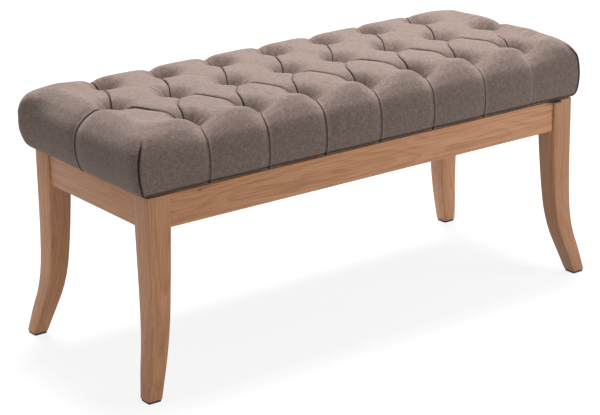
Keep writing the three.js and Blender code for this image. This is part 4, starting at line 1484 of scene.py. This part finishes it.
    def pleat_line(self, sign: float, pleat: int, share: Array) -> Shade:
        """How dark the painted shade along a long side's pleat is, and how far that reaches.

        Args:
            sign: -1 at the front, 1 at the back.
            pleat: Its number from the left, from 0.
            share: Height shares.

        Returns:
            The darkness at each height share, and its reach.
        """
        if sign > 0:
            return self.back_line
        high, low, spread = self.pleat_lines[pleat]
        return np.interp(share, self.line_heights, (low, high)), spread

    def hem_shade(self, share: Array) -> Array:
        """Painted shadow on the hem's edge along the front, by height share."""
        return 1.0 - smoothstep(*self.hem_shadow, share)

    def rolled(self, plan: Array, out: Array, near_pleat: Array,
               sink: Array | float = 0.0, puff: Array | float = 0.0) -> Array:
        """Points of the seat's edge, drawn in at its pleats.

        Args:
            plan: Places seen from above, columns by levels.
            out: Directions out of the seat, seen from above.
            near_pleat: Distance to the nearest pleat.
            sink: What they are drawn in further.
            puff: How far they stand out further.

        Returns:
            The points.
        """
        inset, share, _ = self.levels.T
        tangent = np.stack([np.gradient(-inset), np.gradient(share * (self.top - self.hem))], axis=1)
        tangent /= np.linalg.norm(tangent, axis=1, keepdims=True)
        level_part, up_part = -tangent[:, 1], tangent[:, 0]
        near = np.exp(-((near_pleat / self.pleat_reach) ** self.crease_power))
        sink = sink + read_off(self.pleat_sink, share) * near
        height = self.hem + (self.rim(plan[..., 0], plan[..., 1]) - self.hem) * share - sink * up_part
        top = self.surface_height(plan[..., 0], plan[..., 1])
        carry = (1.0 - smoothstep(0.0, 30.0, inset[0] - inset)) * up_part
        level = plan - (sink * level_part)[..., None] * out
        x_swell = np.where(out[..., 0] < 0, self.swell_left, self.swell_right) * np.abs(out[..., 0])
        y_swell = np.where(out[..., 1] < 0, self.swell_front, self.swell_back) * np.abs(out[..., 1])
        level = level + ((x_swell + y_swell) * read_off(self.belly, share) + puff)[..., None] * out
        return np.concatenate([level, (height + (top - height) * carry)[..., None]], axis=-1)

    def lean(self, sign: float, run: Array, share: Array) -> Array:
        """How far the pleats of a long side lean to the right.

        Args:
            sign: -1 at the front, 1 at the back.
            run: Distances from the tufts along the cloth.
            share: Height shares.

        Returns:
            The shifts.
        """
        if sign < 0:
            return self.lean_front * smoothstep(*self.lean_run, run)
        begun = smoothstep(*self.back_lean_run, run)
        return self.lean_back * begun * smoothstep(*self.back_lean_heights, share)

    def add_edges(self, quilt: Quilt) -> None:
        """Adds the long sides' edges."""
        for sign in (-1.0, 1.0):
            for left in self.rows[1][:-1]:
                quilt.add(self.edge_patch(sign, left))

    # Corners

    def corner_columns(self, total: float, middle: float) -> Array:
        """Places along one level of a corner, close together at both pleats and the corner pleat.

        Args:
            total: Length of the level.
            middle: Place of the corner pleat.

        Returns:
            Distances along the level from the long side's pleat.
        """
        near = np.array(self.fold.steps[:-1])
        reach = near[-1]
        before, after = self.corner_counts
        first = np.linspace(reach, middle - reach, before + 1)[1:-1]
        second = np.linspace(middle + reach, total - reach, after + 1)[1:-1]
        parts = [near, first, middle - near[::-1], middle + near[1:], second, total - near[::-1]]
        return np.concatenate(parts)

    def corner_level(self, inset: float, turn: float, bow: float) -> Ring:
        """One level of the front left corner, from the long side's pleat to the end pleat.

        Args:
            inset: Of the level from the hem line.
            turn: How far round the arc the corner pleat is, from 0 to 1.
            bow: How far past that it is.

        Returns:
            The level.
        """
        x_side, y_side = self.half[0] - inset, self.half[1] - inset
        radius = float(read_off(self.corner_radii, inset))
        start = -self.rows[1][0]
        first = x_side - radius - start
        arc = radius * math.pi / 2
        last = y_side - radius
        seam = first + arc * turn + bow
        along = self.corner_columns(first + arc + last, seam)
        bearing = np.clip((along - first) / radius, 0.0, math.pi / 2)
        centre = np.array([-(x_side - radius), -(y_side - radius)])
        out = np.stack([-np.sin(bearing), -np.cos(bearing)], axis=1)
        place = centre + radius * out
        place[:, 0] += np.clip(first - along, 0.0, None)
        place[:, 1] += np.clip(along - first - arc, 0.0, None)
        return Ring(place, out, along, seam, first + arc / 2)

    def corner_patches(self, sign_x: float, sign_y: float) -> tuple[Patch, Array]:
        """The panel round one corner, without its strip along the crease.

        Args:
            sign_x: 1 at the right.
            sign_y: 1 at the back.

        Returns:
            The patch, rows from the crease outwards, and the places of its columns along the crease.
        """
        levels = self.levels
        corner = int(sign_x > 0) + 2 * int(sign_y > 0)
        turn, bow, ends = self.corner_seams[corner]
        bows = bow * np.sin(math.pi * np.clip(levels[:, 1] / ends, 0.0, 1.0))
        rings = [self.corner_level(inset, turn, bow) for inset, bow in zip(levels[:, 0], bows)]
        plan, out, along = (np.stack(parts, axis=1) for parts in list(zip(*rings))[:3])
        seam = np.array([ring.seam for ring in rings])[None, :]
        to_middle = along - np.array([ring.middle for ring in rings])[None, :]
        total = along[-1][None, :]
        place = along[:, 0] / along[-1, 0]
        tuft = np.array([self.rows[1][0], -self.row])
        end = np.array([self.rows[0][0], 0.0])
        crease = tuft + place[:, None] * (end - tuft)
        normal = -np.array([self.edge[1], self.edge[0]]) / self.crease_length
        shares = self.shelf_shares((plan[:, 0] - crease) @ normal)[..., None]
        inner = crease[:, None] + shares * (plan[:, :1] - crease[:, None])
        signs = np.array([-sign_x, -sign_y])
        inner_z = self.surface_height(*np.moveaxis(inner * signs, -1, 0))
        share_grid = np.broadcast_to(levels[:, 1], along.shape)
        to_end = total - along
        # The edge, tucked in at the corner pleat and standing out round it
        below, above = self.seam_fade
        depth, reach, power = self.seam_tuck
        tuck = depth * np.exp(-((np.abs(along - seam) / reach) ** power))
        tuck *= 1 - smoothstep(ends - below, ends + above, share_grid)
        puff = read_off(self.corner_puff, share_grid) * np.exp(-((to_middle / self.puff_reach) ** 2))
        puff *= self.corner_fullness[corner]
        near_pleat = np.minimum(self.beside_pleat(sign_x * along, sign_y < 0), to_end)
        outer = self.rolled(plan * signs, out * signs, near_pleat, tuck, puff)
        outer[..., :2] *= signs
        outer[..., 1] -= (sign_y * self.lean_end * (1.0 - smoothstep(*self.end_lean_heights, share_grid))
                          * np.clip(1.0 - to_end / (total - seam), 0.0, 1.0))
        base = np.concatenate([np.concatenate([inner, inner_z[..., None]], axis=-1), outer], axis=1)
        # The lean of the long side's pleat dies out towards the corner pleat
        shelf = self.half[1] - self.row - levels[0, 0]
        beyond = np.broadcast_to(shelf + levels[:, 2], along.shape)
        run = np.concatenate([shares[..., 0] * shelf, beyond], axis=1)
        rank = np.concatenate([np.ones(inner.shape[:2]), share_grid], axis=1)
        near_long = np.clip(1.0 - along / seam, 0.0, 1.0)
        near_long = np.concatenate([np.repeat(near_long[:, :1], inner.shape[1], axis=1), near_long], axis=1)
        base[..., 0] -= sign_x * self.lean(sign_y, run, rank) * near_long
        flat = np.concatenate([inner, plan], axis=1)
        cloth = self.corner_cloth(inner, plan, along, seam, levels[:, 2])
        mirror = np.array([-sign_x, -sign_y, 1.0])
        key = np.concatenate([flat, KEY_HEIGHT * rank[..., None]], axis=-1) * mirror
        patch = Patch(base * mirror, cloth * mirror[:2], key, -sign_x * sign_y)
        panel = CornerPanel(base, crease, normal, along, to_end, seam, share_grid, out, mirror, ends)
        sides = self.corner_sides(sign_x, sign_y)
        self.fold_crease(patch, panel, sides["crease"])
        self.fold_pleats(patch, panel, sides["long"], sides["end"])
        self.fold_seam(patch, panel)
        return patch, place

    def corner_sides(self, sign_x: float, sign_y: float) -> dict[str, Side]:
        """How a corner's panel lies at its folds.

        Args:
            sign_x: 1 at the right.
            sign_y: 1 at the back.

        Returns:
            Its side at the crease, the long side's pleat and the end's pleat.
        """
        over, under = Side.OVER, Side.UNDER
        return {
            "crease": over if sign_y < 0 else under,
            "long": over if sign_x < 0 else under,
            "end": over if sign_y < 0 else under,
        }

    def corner_cloth(self, inner: Array, plan: Array, along: Array, seam: Array, run: Array) -> Array:
        """Places on the flat cloth: it turns down both sides and is tucked in at the corner pleat.

        Args:
            inner: Places of the inner rows, seen from above.
            plan: Places of the levels, seen from above.
            along: Distances along each level.
            seam: The distance of the corner pleat, by level.
            run: Distances of the levels down the edge.

        Returns:
            The places, columns by rows.
        """
        front = (along <= seam + TINY)[..., None]
        from_front = np.broadcast_to(plan[:1, :1, 1] - run, along.shape)
        from_end = np.broadcast_to(plan[-1:, :1, 0] - run, along.shape)
        down_front = np.stack([-(along - self.rows[1][0]), from_front], axis=-1)
        down_end = np.stack([from_end, along - along.max(axis=0)], axis=-1)
        blend = smoothstep(0.0, self.cloth_turn, run)[None, :, None]
        outer = blend * np.where(front, down_front, down_end) + (1 - blend) * plan[:, :1]
        return np.concatenate([inner, outer], axis=1)

    def fold_crease(self, patch: Patch, panel: CornerPanel, side: Side) -> None:
        """Adds a corner's fold along its crease.

        Args:
            patch: The corner's patch.
            panel: What its folds are measured from.
            side: How it lies there.
        """
        plan, crease = panel.base[..., :2], panel.crease
        off = np.abs((plan - crease[:, None]) @ panel.normal)
        off[:, panel.inner:] = FAR
        run = np.minimum(*(np.linalg.norm(plan - tuft, axis=-1) for tuft in (crease[0], crease[-1])))
        kind = {(True, True): Crease.FALLING_FRONT, (False, True): Crease.RISING_LAST,
                (True, False): Crease.RISING_BACK, (False, False): Crease.FALLING_BACK}[
                    bool(panel.at_left), bool(panel.at_front)]
        from_middle = np.linalg.norm(crease - crease[-1], axis=1) / self.crease_length
        fade = kind.strength(from_middle)[:, None] * smoothstep(*self.fold_start, run)
        back_left, most = self.corner_spreads
        spread = np.minimum(kind.spread(from_middle), most)[:, None]
        patch.add_fold(self.fold, off, fade, side, np.append(-panel.normal, 0.0) * panel.mirror,
                       shade=(self.fold_dark, back_left if kind is Crease.RISING_BACK else spread))

    def fold_pleats(self, patch: Patch, panel: CornerPanel, long_side: Side, end_side: Side) -> None:
        """Adds a corner's pleats at the long side and at the end.

        Args:
            patch: The corner's patch.
            panel: What its folds are measured from.
            long_side: How it lies at the long side's pleat.
            end_side: How it lies at the end's pleat.
        """
        plan, crease, inner = panel.base[..., :2], panel.crease, panel.inner
        share = panel.whole(panel.share, 1.0)
        size = read_off(self.pleat_size, share)
        long_off = np.concatenate([np.abs(plan[:, :inner, 0] - crease[0, 0]), panel.along], axis=1)
        in_front = smoothstep(*self.pleat_start, -(plan[..., 1] - crease[0, 1]))
        line = self.pleat_line(-panel.mirror[1], 0 if panel.at_left else self.tufts - 2, share)
        if panel.at_left and not panel.at_front:
            line = self.back_left_line
        depth = self.pleat_depths[-1] if panel.at_front and not panel.at_left else 1.0
        patch.add_fold(self.fold, long_off, depth * in_front * size, long_side, -panel.forward, shade=line)
        end_off = np.concatenate([np.abs(plan[:, :inner, 1]), panel.to_end], axis=1)
        beyond = smoothstep(*self.pleat_start, -(plan[..., 0] - crease[-1, 0]))
        depth, line = (1.0, self.left_line) if panel.at_left else (self.right_pleat, self.right_line)
        patch.add_fold(self.fold, end_off, beyond * size * depth, end_side, panel.forward, shade=line)

    def fold_seam(self, patch: Patch, panel: CornerPanel) -> None:
        """Adds the pleat on a corner itself, and the painted shadow line along the hem before it at the front.

        Args:
            patch: The corner's patch.
            panel: What its folds are measured from.
        """
        share = panel.whole(panel.share, 1.0)
        off = panel.whole(np.abs(panel.along - panel.seam), FAR)
        lower = 1.0 - smoothstep(panel.ends - self.seam_fade[0], panel.ends, share)
        first = panel.whole(panel.along <= panel.seam + TINY, False)
        # The painted shadow line along the front hem, up to the corner pleat
        if panel.at_front:
            patch.fold = np.maximum(patch.fold, np.where(first, self.hem_shade(share), 0.0))
        spread = self.seam_spreads[int(panel.at_front and not panel.at_left)]
        for part, side, way in ((first, Side.UNDER, panel.forward), (~first, Side.OVER, -panel.forward)):
            patch.add_fold(self.fold, np.where(part, off, FAR), np.where(part, lower, 0.0), side, way,
                           self.seam_size, (1.0, spread))

    def add_corners(self, quilt: Quilt, wholes: list[Array]) -> None:
        """Adds the four corners and joins them to the outer panels' creases.

        Args:
            quilt: The mesh under construction.
            wholes: Indices of the whole panels, left to right.
        """
        lines = {
            (-1.0, -1.0): wholes[0][0, ::-1], (-1.0, 1.0): wholes[0][::-1, 0],
            (1.0, -1.0): wholes[-1][:, -1], (1.0, 1.0): wholes[-1][-1, :],
        }
        for (sign_x, sign_y), line in lines.items():
            patch, place = self.corner_patches(sign_x, sign_y)
            index = quilt.add(patch)
            quilt.bridge(line, index[:, 0], self.shares, place, -patch.outward)

    def build(self) -> Object:
        """Makes the seat.

        Returns:
            The finished piece.
        """
        quilt = Quilt()
        wholes = self.add_field(quilt)
        self.add_edges(quilt)
        self.add_corners(quilt, wholes)
        seat = quilt.mesh("tufted_seat")
        self.shift_tufts(seat)
        self.close_underside(seat)
        seat.data.polygons.foreach_set("use_smooth", [True] * len(seat.data.polygons))
        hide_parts("seat_cover", "foam_pad")
        return dress(seat, Finish.LINEN)

    def shift_tufts(self, seat: Object) -> None:
        """Moves each tuft a little off the lattice, as drawn by hand, and the cloth round it along, and paints
        shade round its pit.
        """
        place = read_points(seat) / MM
        inset = np.minimum(self.half[0] - np.abs(place[:, 0]), self.half[1] - np.abs(place[:, 1]))
        pull = smoothstep(*self.edge_hold, inset)
        moved = place.copy()
        shade = np.empty(len(place), np.float32)
        layer = seat.data.attributes["fold"]
        layer.data.foreach_get("value", shade)
        for centre, offset, tone in zip(self.places, self.tuft_shifts, self.pit_shades):
            away = np.linalg.norm(place[:, :2] - centre, axis=1)
            moved[:, :2] += (pull * np.exp(-((away / self.shift_reach) ** 2)))[:, None] * np.array(offset)
            # Painted shade in the pit, darkest a little off the tuft in the front row
            beside = np.array(self.pit_middle) if centre[1] < 0 else 0.0
            apart = np.linalg.norm(place[:, :2] - centre - beside, axis=1)
            shade = np.maximum(shade, tone * np.exp(-((apart / self.pit_spread) ** 2)))
        beside, y, offset = self.front_bend
        bends = [*((x + beside, y, offset) for x in self.rows[0][1:]), *self.back_bends]
        for x, y, offset in bends:
            away = np.hypot(place[:, 0] - x, place[:, 1] - y)
            moved[:, 0] += pull * offset * np.exp(-(away / self.bend_reach) ** 2)
        layer.data.foreach_set("value", shade.astype(np.float32))
        seat.data.vertices.foreach_set("co", (moved * MM).astype(np.float32).ravel())

    def close_underside(self, seat: Object) -> None:
        """Turns the cloth in under the board and closes the foam above it."""
        mesh = bmesh.new()
        mesh.from_mesh(seat.data)
        mesh.verts.ensure_lookup_table()
        top = (self.hem + self.hem_height) * MM
        rim = [edge for edge in mesh.edges if edge.is_boundary and edge.verts[0].co.z < top]
        LOG.info("seat: %d open edges at the hem", len(rim))
        thick = self.cloth_thickness
        stages = ((self.flange - self.hem_turn, 0.0), (0.0, thick),
                  (thick + self.inner_gap - self.flange, 0.0), (0.0, self.board_top - self.hem - thick))
        half = Vector(self.half) * MM
        reach = self.hem_corner * MM
        for inward, rise in stages:
            made = bmesh.ops.extrude_edge_only(mesh, edges=rim)
            for point in (part for part in made["geom"] if isinstance(part, bmesh.types.BMVert)):
                apart = (half.x - abs(point.co.x), half.y - abs(point.co.y))
                corner = Vector([reach - min(distance, reach) for distance in apart])
                if corner.length > 0:
                    corner.normalize()
                point.co.x -= math.copysign(corner.x * inward * MM, point.co.x)
                point.co.y -= math.copysign(corner.y * inward * MM, point.co.y)
                point.co.z += rise * MM
            rim = [part for part in made["geom"] if isinstance(part, bmesh.types.BMEdge)]
        bmesh.ops.contextual_create(mesh, geom=rim)
        bmesh.ops.recalc_face_normals(mesh, faces=mesh.faces)
        mesh.to_mesh(seat.data)
        mesh.free()


# ---------------------------------------------------------------- wooden frame


@dataclass
class Timber:
    """One wooden piece of the frame, taken from its CAD node."""

    node: str
    # The axis that its grain runs along
    axis: str
    finish: Finish
    slot: str
    # Width of the eased edges in millimetres, and degrees from which an edge is eased and is sharp
    ease: float = 0.6
    ease_angle: float = 30.0
    sharp_angle: float = 32.0
    # Faces within this many degrees of each other are made one
    flat_angle: float = 0.4
    # Degrees that it is turned round its grain in the tree, and how light it is beside the others
    turn: float = 0.0
    tone: float = 1.0
    # How far its place in the tree may be off: along, across and through it, in metres
    places: tuple[Pair, Pair, Pair] = ((-0.9, 0.9), (-0.012, 0.012), (-0.01, 0.02))
    # Points within this height of each other are on one level of a leg, in metres
    level_gap: float = 2e-4

    def build(self, serial: int) -> Object:
        """Copies the node, eases its edges and lays grain along it.

        Args:
            serial: Number of the piece, which picks its part of the tree.

        Returns:
            The piece.
        """
        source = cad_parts[self.node]
        piece = link(bpy.data.objects.new("wood_" + self.node, source.data.copy()))
        own_name(piece, "wood_" + self.node)
        only(piece)
        bpy.ops.object.mode_set(mode="EDIT")
        bpy.ops.mesh.select_all(action="SELECT")
        bpy.ops.mesh.remove_doubles(threshold=TINY)
        bpy.ops.mesh.customdata_custom_splitnormals_clear()
        bpy.ops.mesh.dissolve_limited(angle_limit=math.radians(self.flat_angle))
        bpy.ops.object.mode_set(mode="OBJECT")
        bevel = piece.modifiers.new("eased edges", "BEVEL")
        bevel.width = self.ease * MM
        bevel.segments = 2
        bevel.limit_method = "ANGLE"
        bevel.angle_limit = math.radians(self.ease_angle)
        bevel.use_clamp_overlap = True
        apply_modifiers(piece)
        bpy.ops.object.shade_smooth_by_angle(angle=math.radians(self.sharp_angle))
        self.lay_grain(piece, serial)
        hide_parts(self.node)
        return dress(piece, self.finish)

    def lay_grain(self, piece: Object, serial: int) -> None:
        """Writes the attributes that the wood's finish reads.

        Args:
            piece: The piece.
            serial: Number of the piece, which picks its part of the tree.
        """
        place = read_points(piece)
        local = place - (place.max(axis=0) + place.min(axis=0)) / 2
        if self.axis == "z":
            # The grain follows a leg's sweep
            height = place[:, 2]
            levels = np.unique(np.round(height, 4))
            rings = [place[np.abs(height - level) < self.level_gap] for level in levels]
            centres = np.array([(ring.max(axis=0) + ring.min(axis=0)) / 2 for ring in rings])
            for axis in (0, 1):
                local[:, axis] = place[:, axis] - np.interp(height, levels, centres[:, axis])
        order = {"x": (0, 2, 1), "y": (1, 2, 0), "z": (2, 0, 1)}[self.axis]
        grain = local[:, order]
        angle = math.radians(self.turn)
        across, through = grain[:, 1].copy(), grain[:, 2].copy()
        grain[:, 1] = across * math.cos(angle) - through * math.sin(angle)
        grain[:, 2] = across * math.sin(angle) + through * math.cos(angle)
        random = np.random.default_rng(serial)
        grain += np.array([random.uniform(*reach) for reach in self.places])
        layer = piece.data.attributes.new("grain", "FLOAT_VECTOR", "POINT")
        layer.data.foreach_set("vector", grain.astype(np.float32).ravel())
        layer = piece.data.attributes.new("tone", "FLOAT", "POINT")
        layer.data.foreach_set("value", np.full(len(place), self.tone, np.float32))


@dataclass
class WoodenFrame:
    """Legs, aprons, corner blocks and centre rail."""

    # Its corners, and how each one's leg is turned in the tree and toned
    corners: tuple[str, ...] = ("front_left", "front_right", "back_left", "back_right")
    leg_turns: tuple[float, ...] = (0.0, 90.0, 40.0, 130.0)
    leg_tones: tuple[float, ...] = (0.93, 0.82, 1.0, 1.12)
    first_serial: int = 11

    def timbers(self) -> list[Timber]:
        """Lists the frame's wooden pieces.

        Returns:
            Each with the way that its grain runs.
        """
        pieces = [
            Timber("apron_front", "x", Finish.BEECH, "beech"),
            Timber("apron_back", "x", Finish.BEECH, "beech", turn=180.0),
            Timber("apron_left", "y", Finish.BEECH, "beech", turn=100.0),
            Timber("apron_right", "y", Finish.BEECH, "beech", turn=70.0),
            Timber("centre_rail", "y", Finish.BLOCK, "block_wood"),
        ]
        for name, turn, tone in zip(self.corners, self.leg_turns, self.leg_tones):
            pieces.append(Timber("leg_" + name, "z", Finish.BEECH, "beech", turn=turn, tone=tone))
            pieces.append(Timber("corner_block_" + name, "z", Finish.BLOCK, "block_wood"))
        return pieces

    def build(self) -> list[Object]:
        """Makes the frame.

        Returns:
            Its pieces.
        """
        return [timber.build(serial) for serial, timber in enumerate(self.timbers(), self.first_serial)]


# ---------------------------------------------------------------- fittings


@dataclass
class Fittings:
    """The nodes that keep their CAD shape: glides, fasteners, ties and the seat board."""

    prefixes: tuple[tuple[str, Finish], ...] = (
        ("glide_", Finish.GLIDE), ("hanger_bolt_", Finish.ZINC), ("flange_nut_", Finish.ZINC),
        ("seat_screw_", Finish.ZINC), ("tuft_tie_", Finish.TWINE), ("seat_board", Finish.PLYWOOD),
    )

    def build(self) -> int:
        """Dresses the nodes.

        Returns:
            How many.
        """
        count = 0
        for name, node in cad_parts.items():
            for prefix, finish in self.prefixes:
                if name.startswith(prefix):
                    node.data.materials.clear()
                    node.data.materials.append(finish.material())
                    count += 1
        return count


@dataclass
class DustCover:
    """Black cloth stretched under the seat board."""

    # The corner that sticks out at the front right: its ends in x, how far out, how far down
    tab: tuple[float, float, float, float] = (0.436, 0.472, 0.0105, 0.0034)
    # The strips it is made of: how much of the way out and of the way down each goes
    strips: tuple[Pair, ...] = ((0.45, 0.0), (0.45, 0.0), (0.1, 0.2), (0.0, 0.4), (0.0, 0.4))
    grid: tuple[int, int] = (120, 48)
    # Depth of the sheet's middle under the node's top, height of its ripples, and its thickness
    depth: float = 0.0004
    ripple: float = 0.00012
    thickness: float = 0.0003

    def pull_tab(self, sheet: Object) -> None:
        """Draws a corner of the sheet out over the apron's edge.

        Args:
            sheet: The flat sheet.
        """
        left, right, out, down = self.tab
        mesh = bmesh.new()
        mesh.from_mesh(sheet.data)
        front = min(vertex.co.y for vertex in mesh.verts)
        near = {vertex for vertex in mesh.verts
                if abs(vertex.co.y - front) < 1e-4 and left <= vertex.co.x <= right}
        edges = [edge for edge in mesh.edges if edge.is_boundary and near.issuperset(edge.verts)]
        for shift, drop in self.strips:
            made = bmesh.ops.extrude_edge_only(mesh, edges=edges)["geom"]
            edges = [part for part in made if isinstance(part, bmesh.types.BMEdge)]
            for vertex in (part for part in made if isinstance(part, bmesh.types.BMVert)):
                share = (vertex.co.x - left) / (right - left)
                vertex.co.y -= shift * out
                vertex.co.z -= drop * down * (0.25 + 0.75 * min(1.6 * share, 1.0))
        mesh.to_mesh(sheet.data)
        mesh.free()

    def build(self) -> Object:
        """Makes the sheet.

        Returns:
            The piece.
        """
        low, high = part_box("dust_cover")
        size = high - low
        deselect()
        bpy.ops.mesh.primitive_grid_add(x_subdivisions=self.grid[0], y_subdivisions=self.grid[1], size=1.0)
        sheet = own_name(bpy.context.object, "dust_sheet")
        sheet.scale = (size.x, size.y, 1.0)
        sheet.location = ((low.x + high.x) / 2, (low.y + high.y) / 2, high.z - self.depth)
        settle(sheet)
        for vertex in sheet.data.vertices:
            x, y = vertex.co.x, vertex.co.y
            wave = math.sin(x * 37 + 2.0 * math.sin(y * 21)) * math.sin(y * 29 + x * 5)
            vertex.co.z += self.ripple * wave
        self.pull_tab(sheet)
        solid = sheet.modifiers.new("cloth", "SOLIDIFY")
        solid.thickness = self.thickness
        solid.offset = 0.0
        apply_modifiers(sheet)
        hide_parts("dust_cover")
        return dress(sheet, Finish.DUST)


# ---------------------------------------------------------------- studio


@dataclass(frozen=True)
class Lamp:
    """A soft round lamp: where it hangs, what it faces, its power in watts and its size."""

    name: str
    place: Triple
    target: Triple
    power: float
    size: float = 1.3

    def build(self) -> None:
        """Hangs the lamp."""
        data = bpy.data.lights.new(self.name, "AREA")
        data.shape = "DISK"
        data.size = self.size
        data.energy = self.power
        lamp = link(bpy.data.objects.new(self.name, data))
        lamp.location = self.place
        lamp.rotation_mode = "QUATERNION"
        towards = Vector(self.target) - Vector(self.place)
        lamp.rotation_quaternion = towards.to_track_quat("-Z", "Y")


@dataclass
class Studio:
    """Camera at the photograph's viewing angle, soft light and a pale floor."""

    position: Triple = (-2.1928, -2.9271, 1.4515)
    yaw: float = 36.414
    pitch: float = 18.963
    roll: float = -0.906
    focal_pixels: float = 1981.5
    sensor: float = 36.0
    sight: float = 60.0
    sky: float = 0.40
    lamps: tuple[Lamp, ...] = (
        Lamp("key", (0.4, 0.55, 3.0), (0.0, 0.0, 0.4), 114.0),
        Lamp("fill", (1.9, -1.6, 1.1), (0.55, 0.0, 0.4), 15.0),
    )
    floor_size: float = 24.0
    # The floor's colour for light that bounces, and its colour and glow for what is seen
    floor_bounce: float = 0.5
    floor_seen: float = 0.25
    floor_glow: float = 0.83

    def camera(self) -> None:
        """Makes the scene's camera."""
        data = bpy.data.cameras.new("camera")
        data.sensor_width = self.sensor
        data.lens = self.focal_pixels / PHOTO_WIDTH * self.sensor
        data.clip_end = self.sight
        camera = link(bpy.data.objects.new("camera", data))
        yaw, pitch, roll = (math.radians(value) for value in (self.yaw, self.pitch, self.roll))
        level = math.cos(pitch)
        forward = Vector((math.sin(yaw) * level, math.cos(yaw) * level, -math.sin(pitch)))
        right = Vector((math.cos(yaw), -math.sin(yaw), 0.0))
        up = right.cross(forward)
        turned_right = math.cos(roll) * right + math.sin(roll) * up
        turned_up = -math.sin(roll) * right + math.cos(roll) * up
        axes = Matrix((turned_right, turned_up, -forward)).transposed()
        camera.matrix_world = Matrix.Translation(self.position) @ axes.to_4x4()
        bpy.context.scene.camera = camera

    def world(self) -> None:
        """A white surround for the eye and mirrors, and a dimmer one for light."""
        world = bpy.data.worlds.new("surround")
        bpy.context.scene.world = world
        world.use_nodes = True
        tree = world.node_tree
        tree.nodes.clear()
        paths = tree.nodes.new("ShaderNodeLightPath")
        seen = paths
        for kind in ("Is Glossy Ray", "Is Transmission Ray"):
            either = tree.nodes.new("ShaderNodeMath")
            either.operation = "MAXIMUM"
            tree.links.new(seen.outputs[0], either.inputs[0])
            tree.links.new(paths.outputs[kind], either.inputs[1])
            seen = either
        back = tree.nodes.new("ShaderNodeBackground")
        back.inputs["Color"].default_value = WHITE
        level = tree.nodes.new("ShaderNodeMapRange")
        tree.links.new(seen.outputs[0], level.inputs["Value"])
        level.inputs["To Min"].default_value = self.sky
        level.inputs["To Max"].default_value = 1.0
        tree.links.new(level.outputs[0], back.inputs["Strength"])
        out = tree.nodes.new("ShaderNodeOutputWorld")
        tree.links.new(back.outputs[0], out.inputs["Surface"])

    def floor(self) -> None:
        """A pale floor that keeps the bench's shadow."""
        deselect()
        bpy.ops.mesh.primitive_plane_add(size=self.floor_size, location=(0.0, 0.0, 0.0))
        floor = own_name(bpy.context.object, "floor")
        s = Shader("floor_pale")
        diffuse = s.add("BsdfDiffuse")
        paths = s.add("LightPath")
        seen = s.math("MAXIMUM", paths.outputs["Is Camera Ray"], paths.outputs["Is Glossy Ray"])
        seen = s.math("MAXIMUM", seen, paths.outputs["Is Transmission Ray"])
        colours = [(level,) * 3 for level in (self.floor_bounce, self.floor_seen)]
        s.plug(s.mix(seen, *colours), diffuse.inputs["Color"])
        glow = s.add("Emission")
        glow.inputs["Color"].default_value = WHITE
        s.plug(s.math("MULTIPLY", seen, self.floor_glow), glow.inputs["Strength"])
        both = s.add("AddShader")
        s.plug(diffuse.outputs[0], both.inputs[0])
        s.plug(glow.outputs[0], both.inputs[1])
        s.plug(both.outputs[0], s.output.inputs["Surface"])
        floor.data.materials.append(s.material)

    def build(self) -> None:
        """Sets the studio up."""
        bpy.context.scene.view_settings.view_transform = "Standard"
        self.camera()
        self.world()
        self.floor()
        for lamp in self.lamps:
            lamp.build()


def main() -> None:
    """Builds the bench and the studio."""
    logging.basicConfig(level=logging.INFO, format="%(message)s")
    seat = TuftedSeat().build()
    LOG.info("seat: %d faces", len(seat.data.polygons))
    for piece in WoodenFrame().build():
        LOG.info("%s: %d faces", piece.name, len(piece.data.polygons))
    LOG.info("fittings: %d", Fittings().build())
    LOG.info("dust cover: %s", DustCover().build().name)
    Studio().build()


if __name__ == "__main__":
    main()
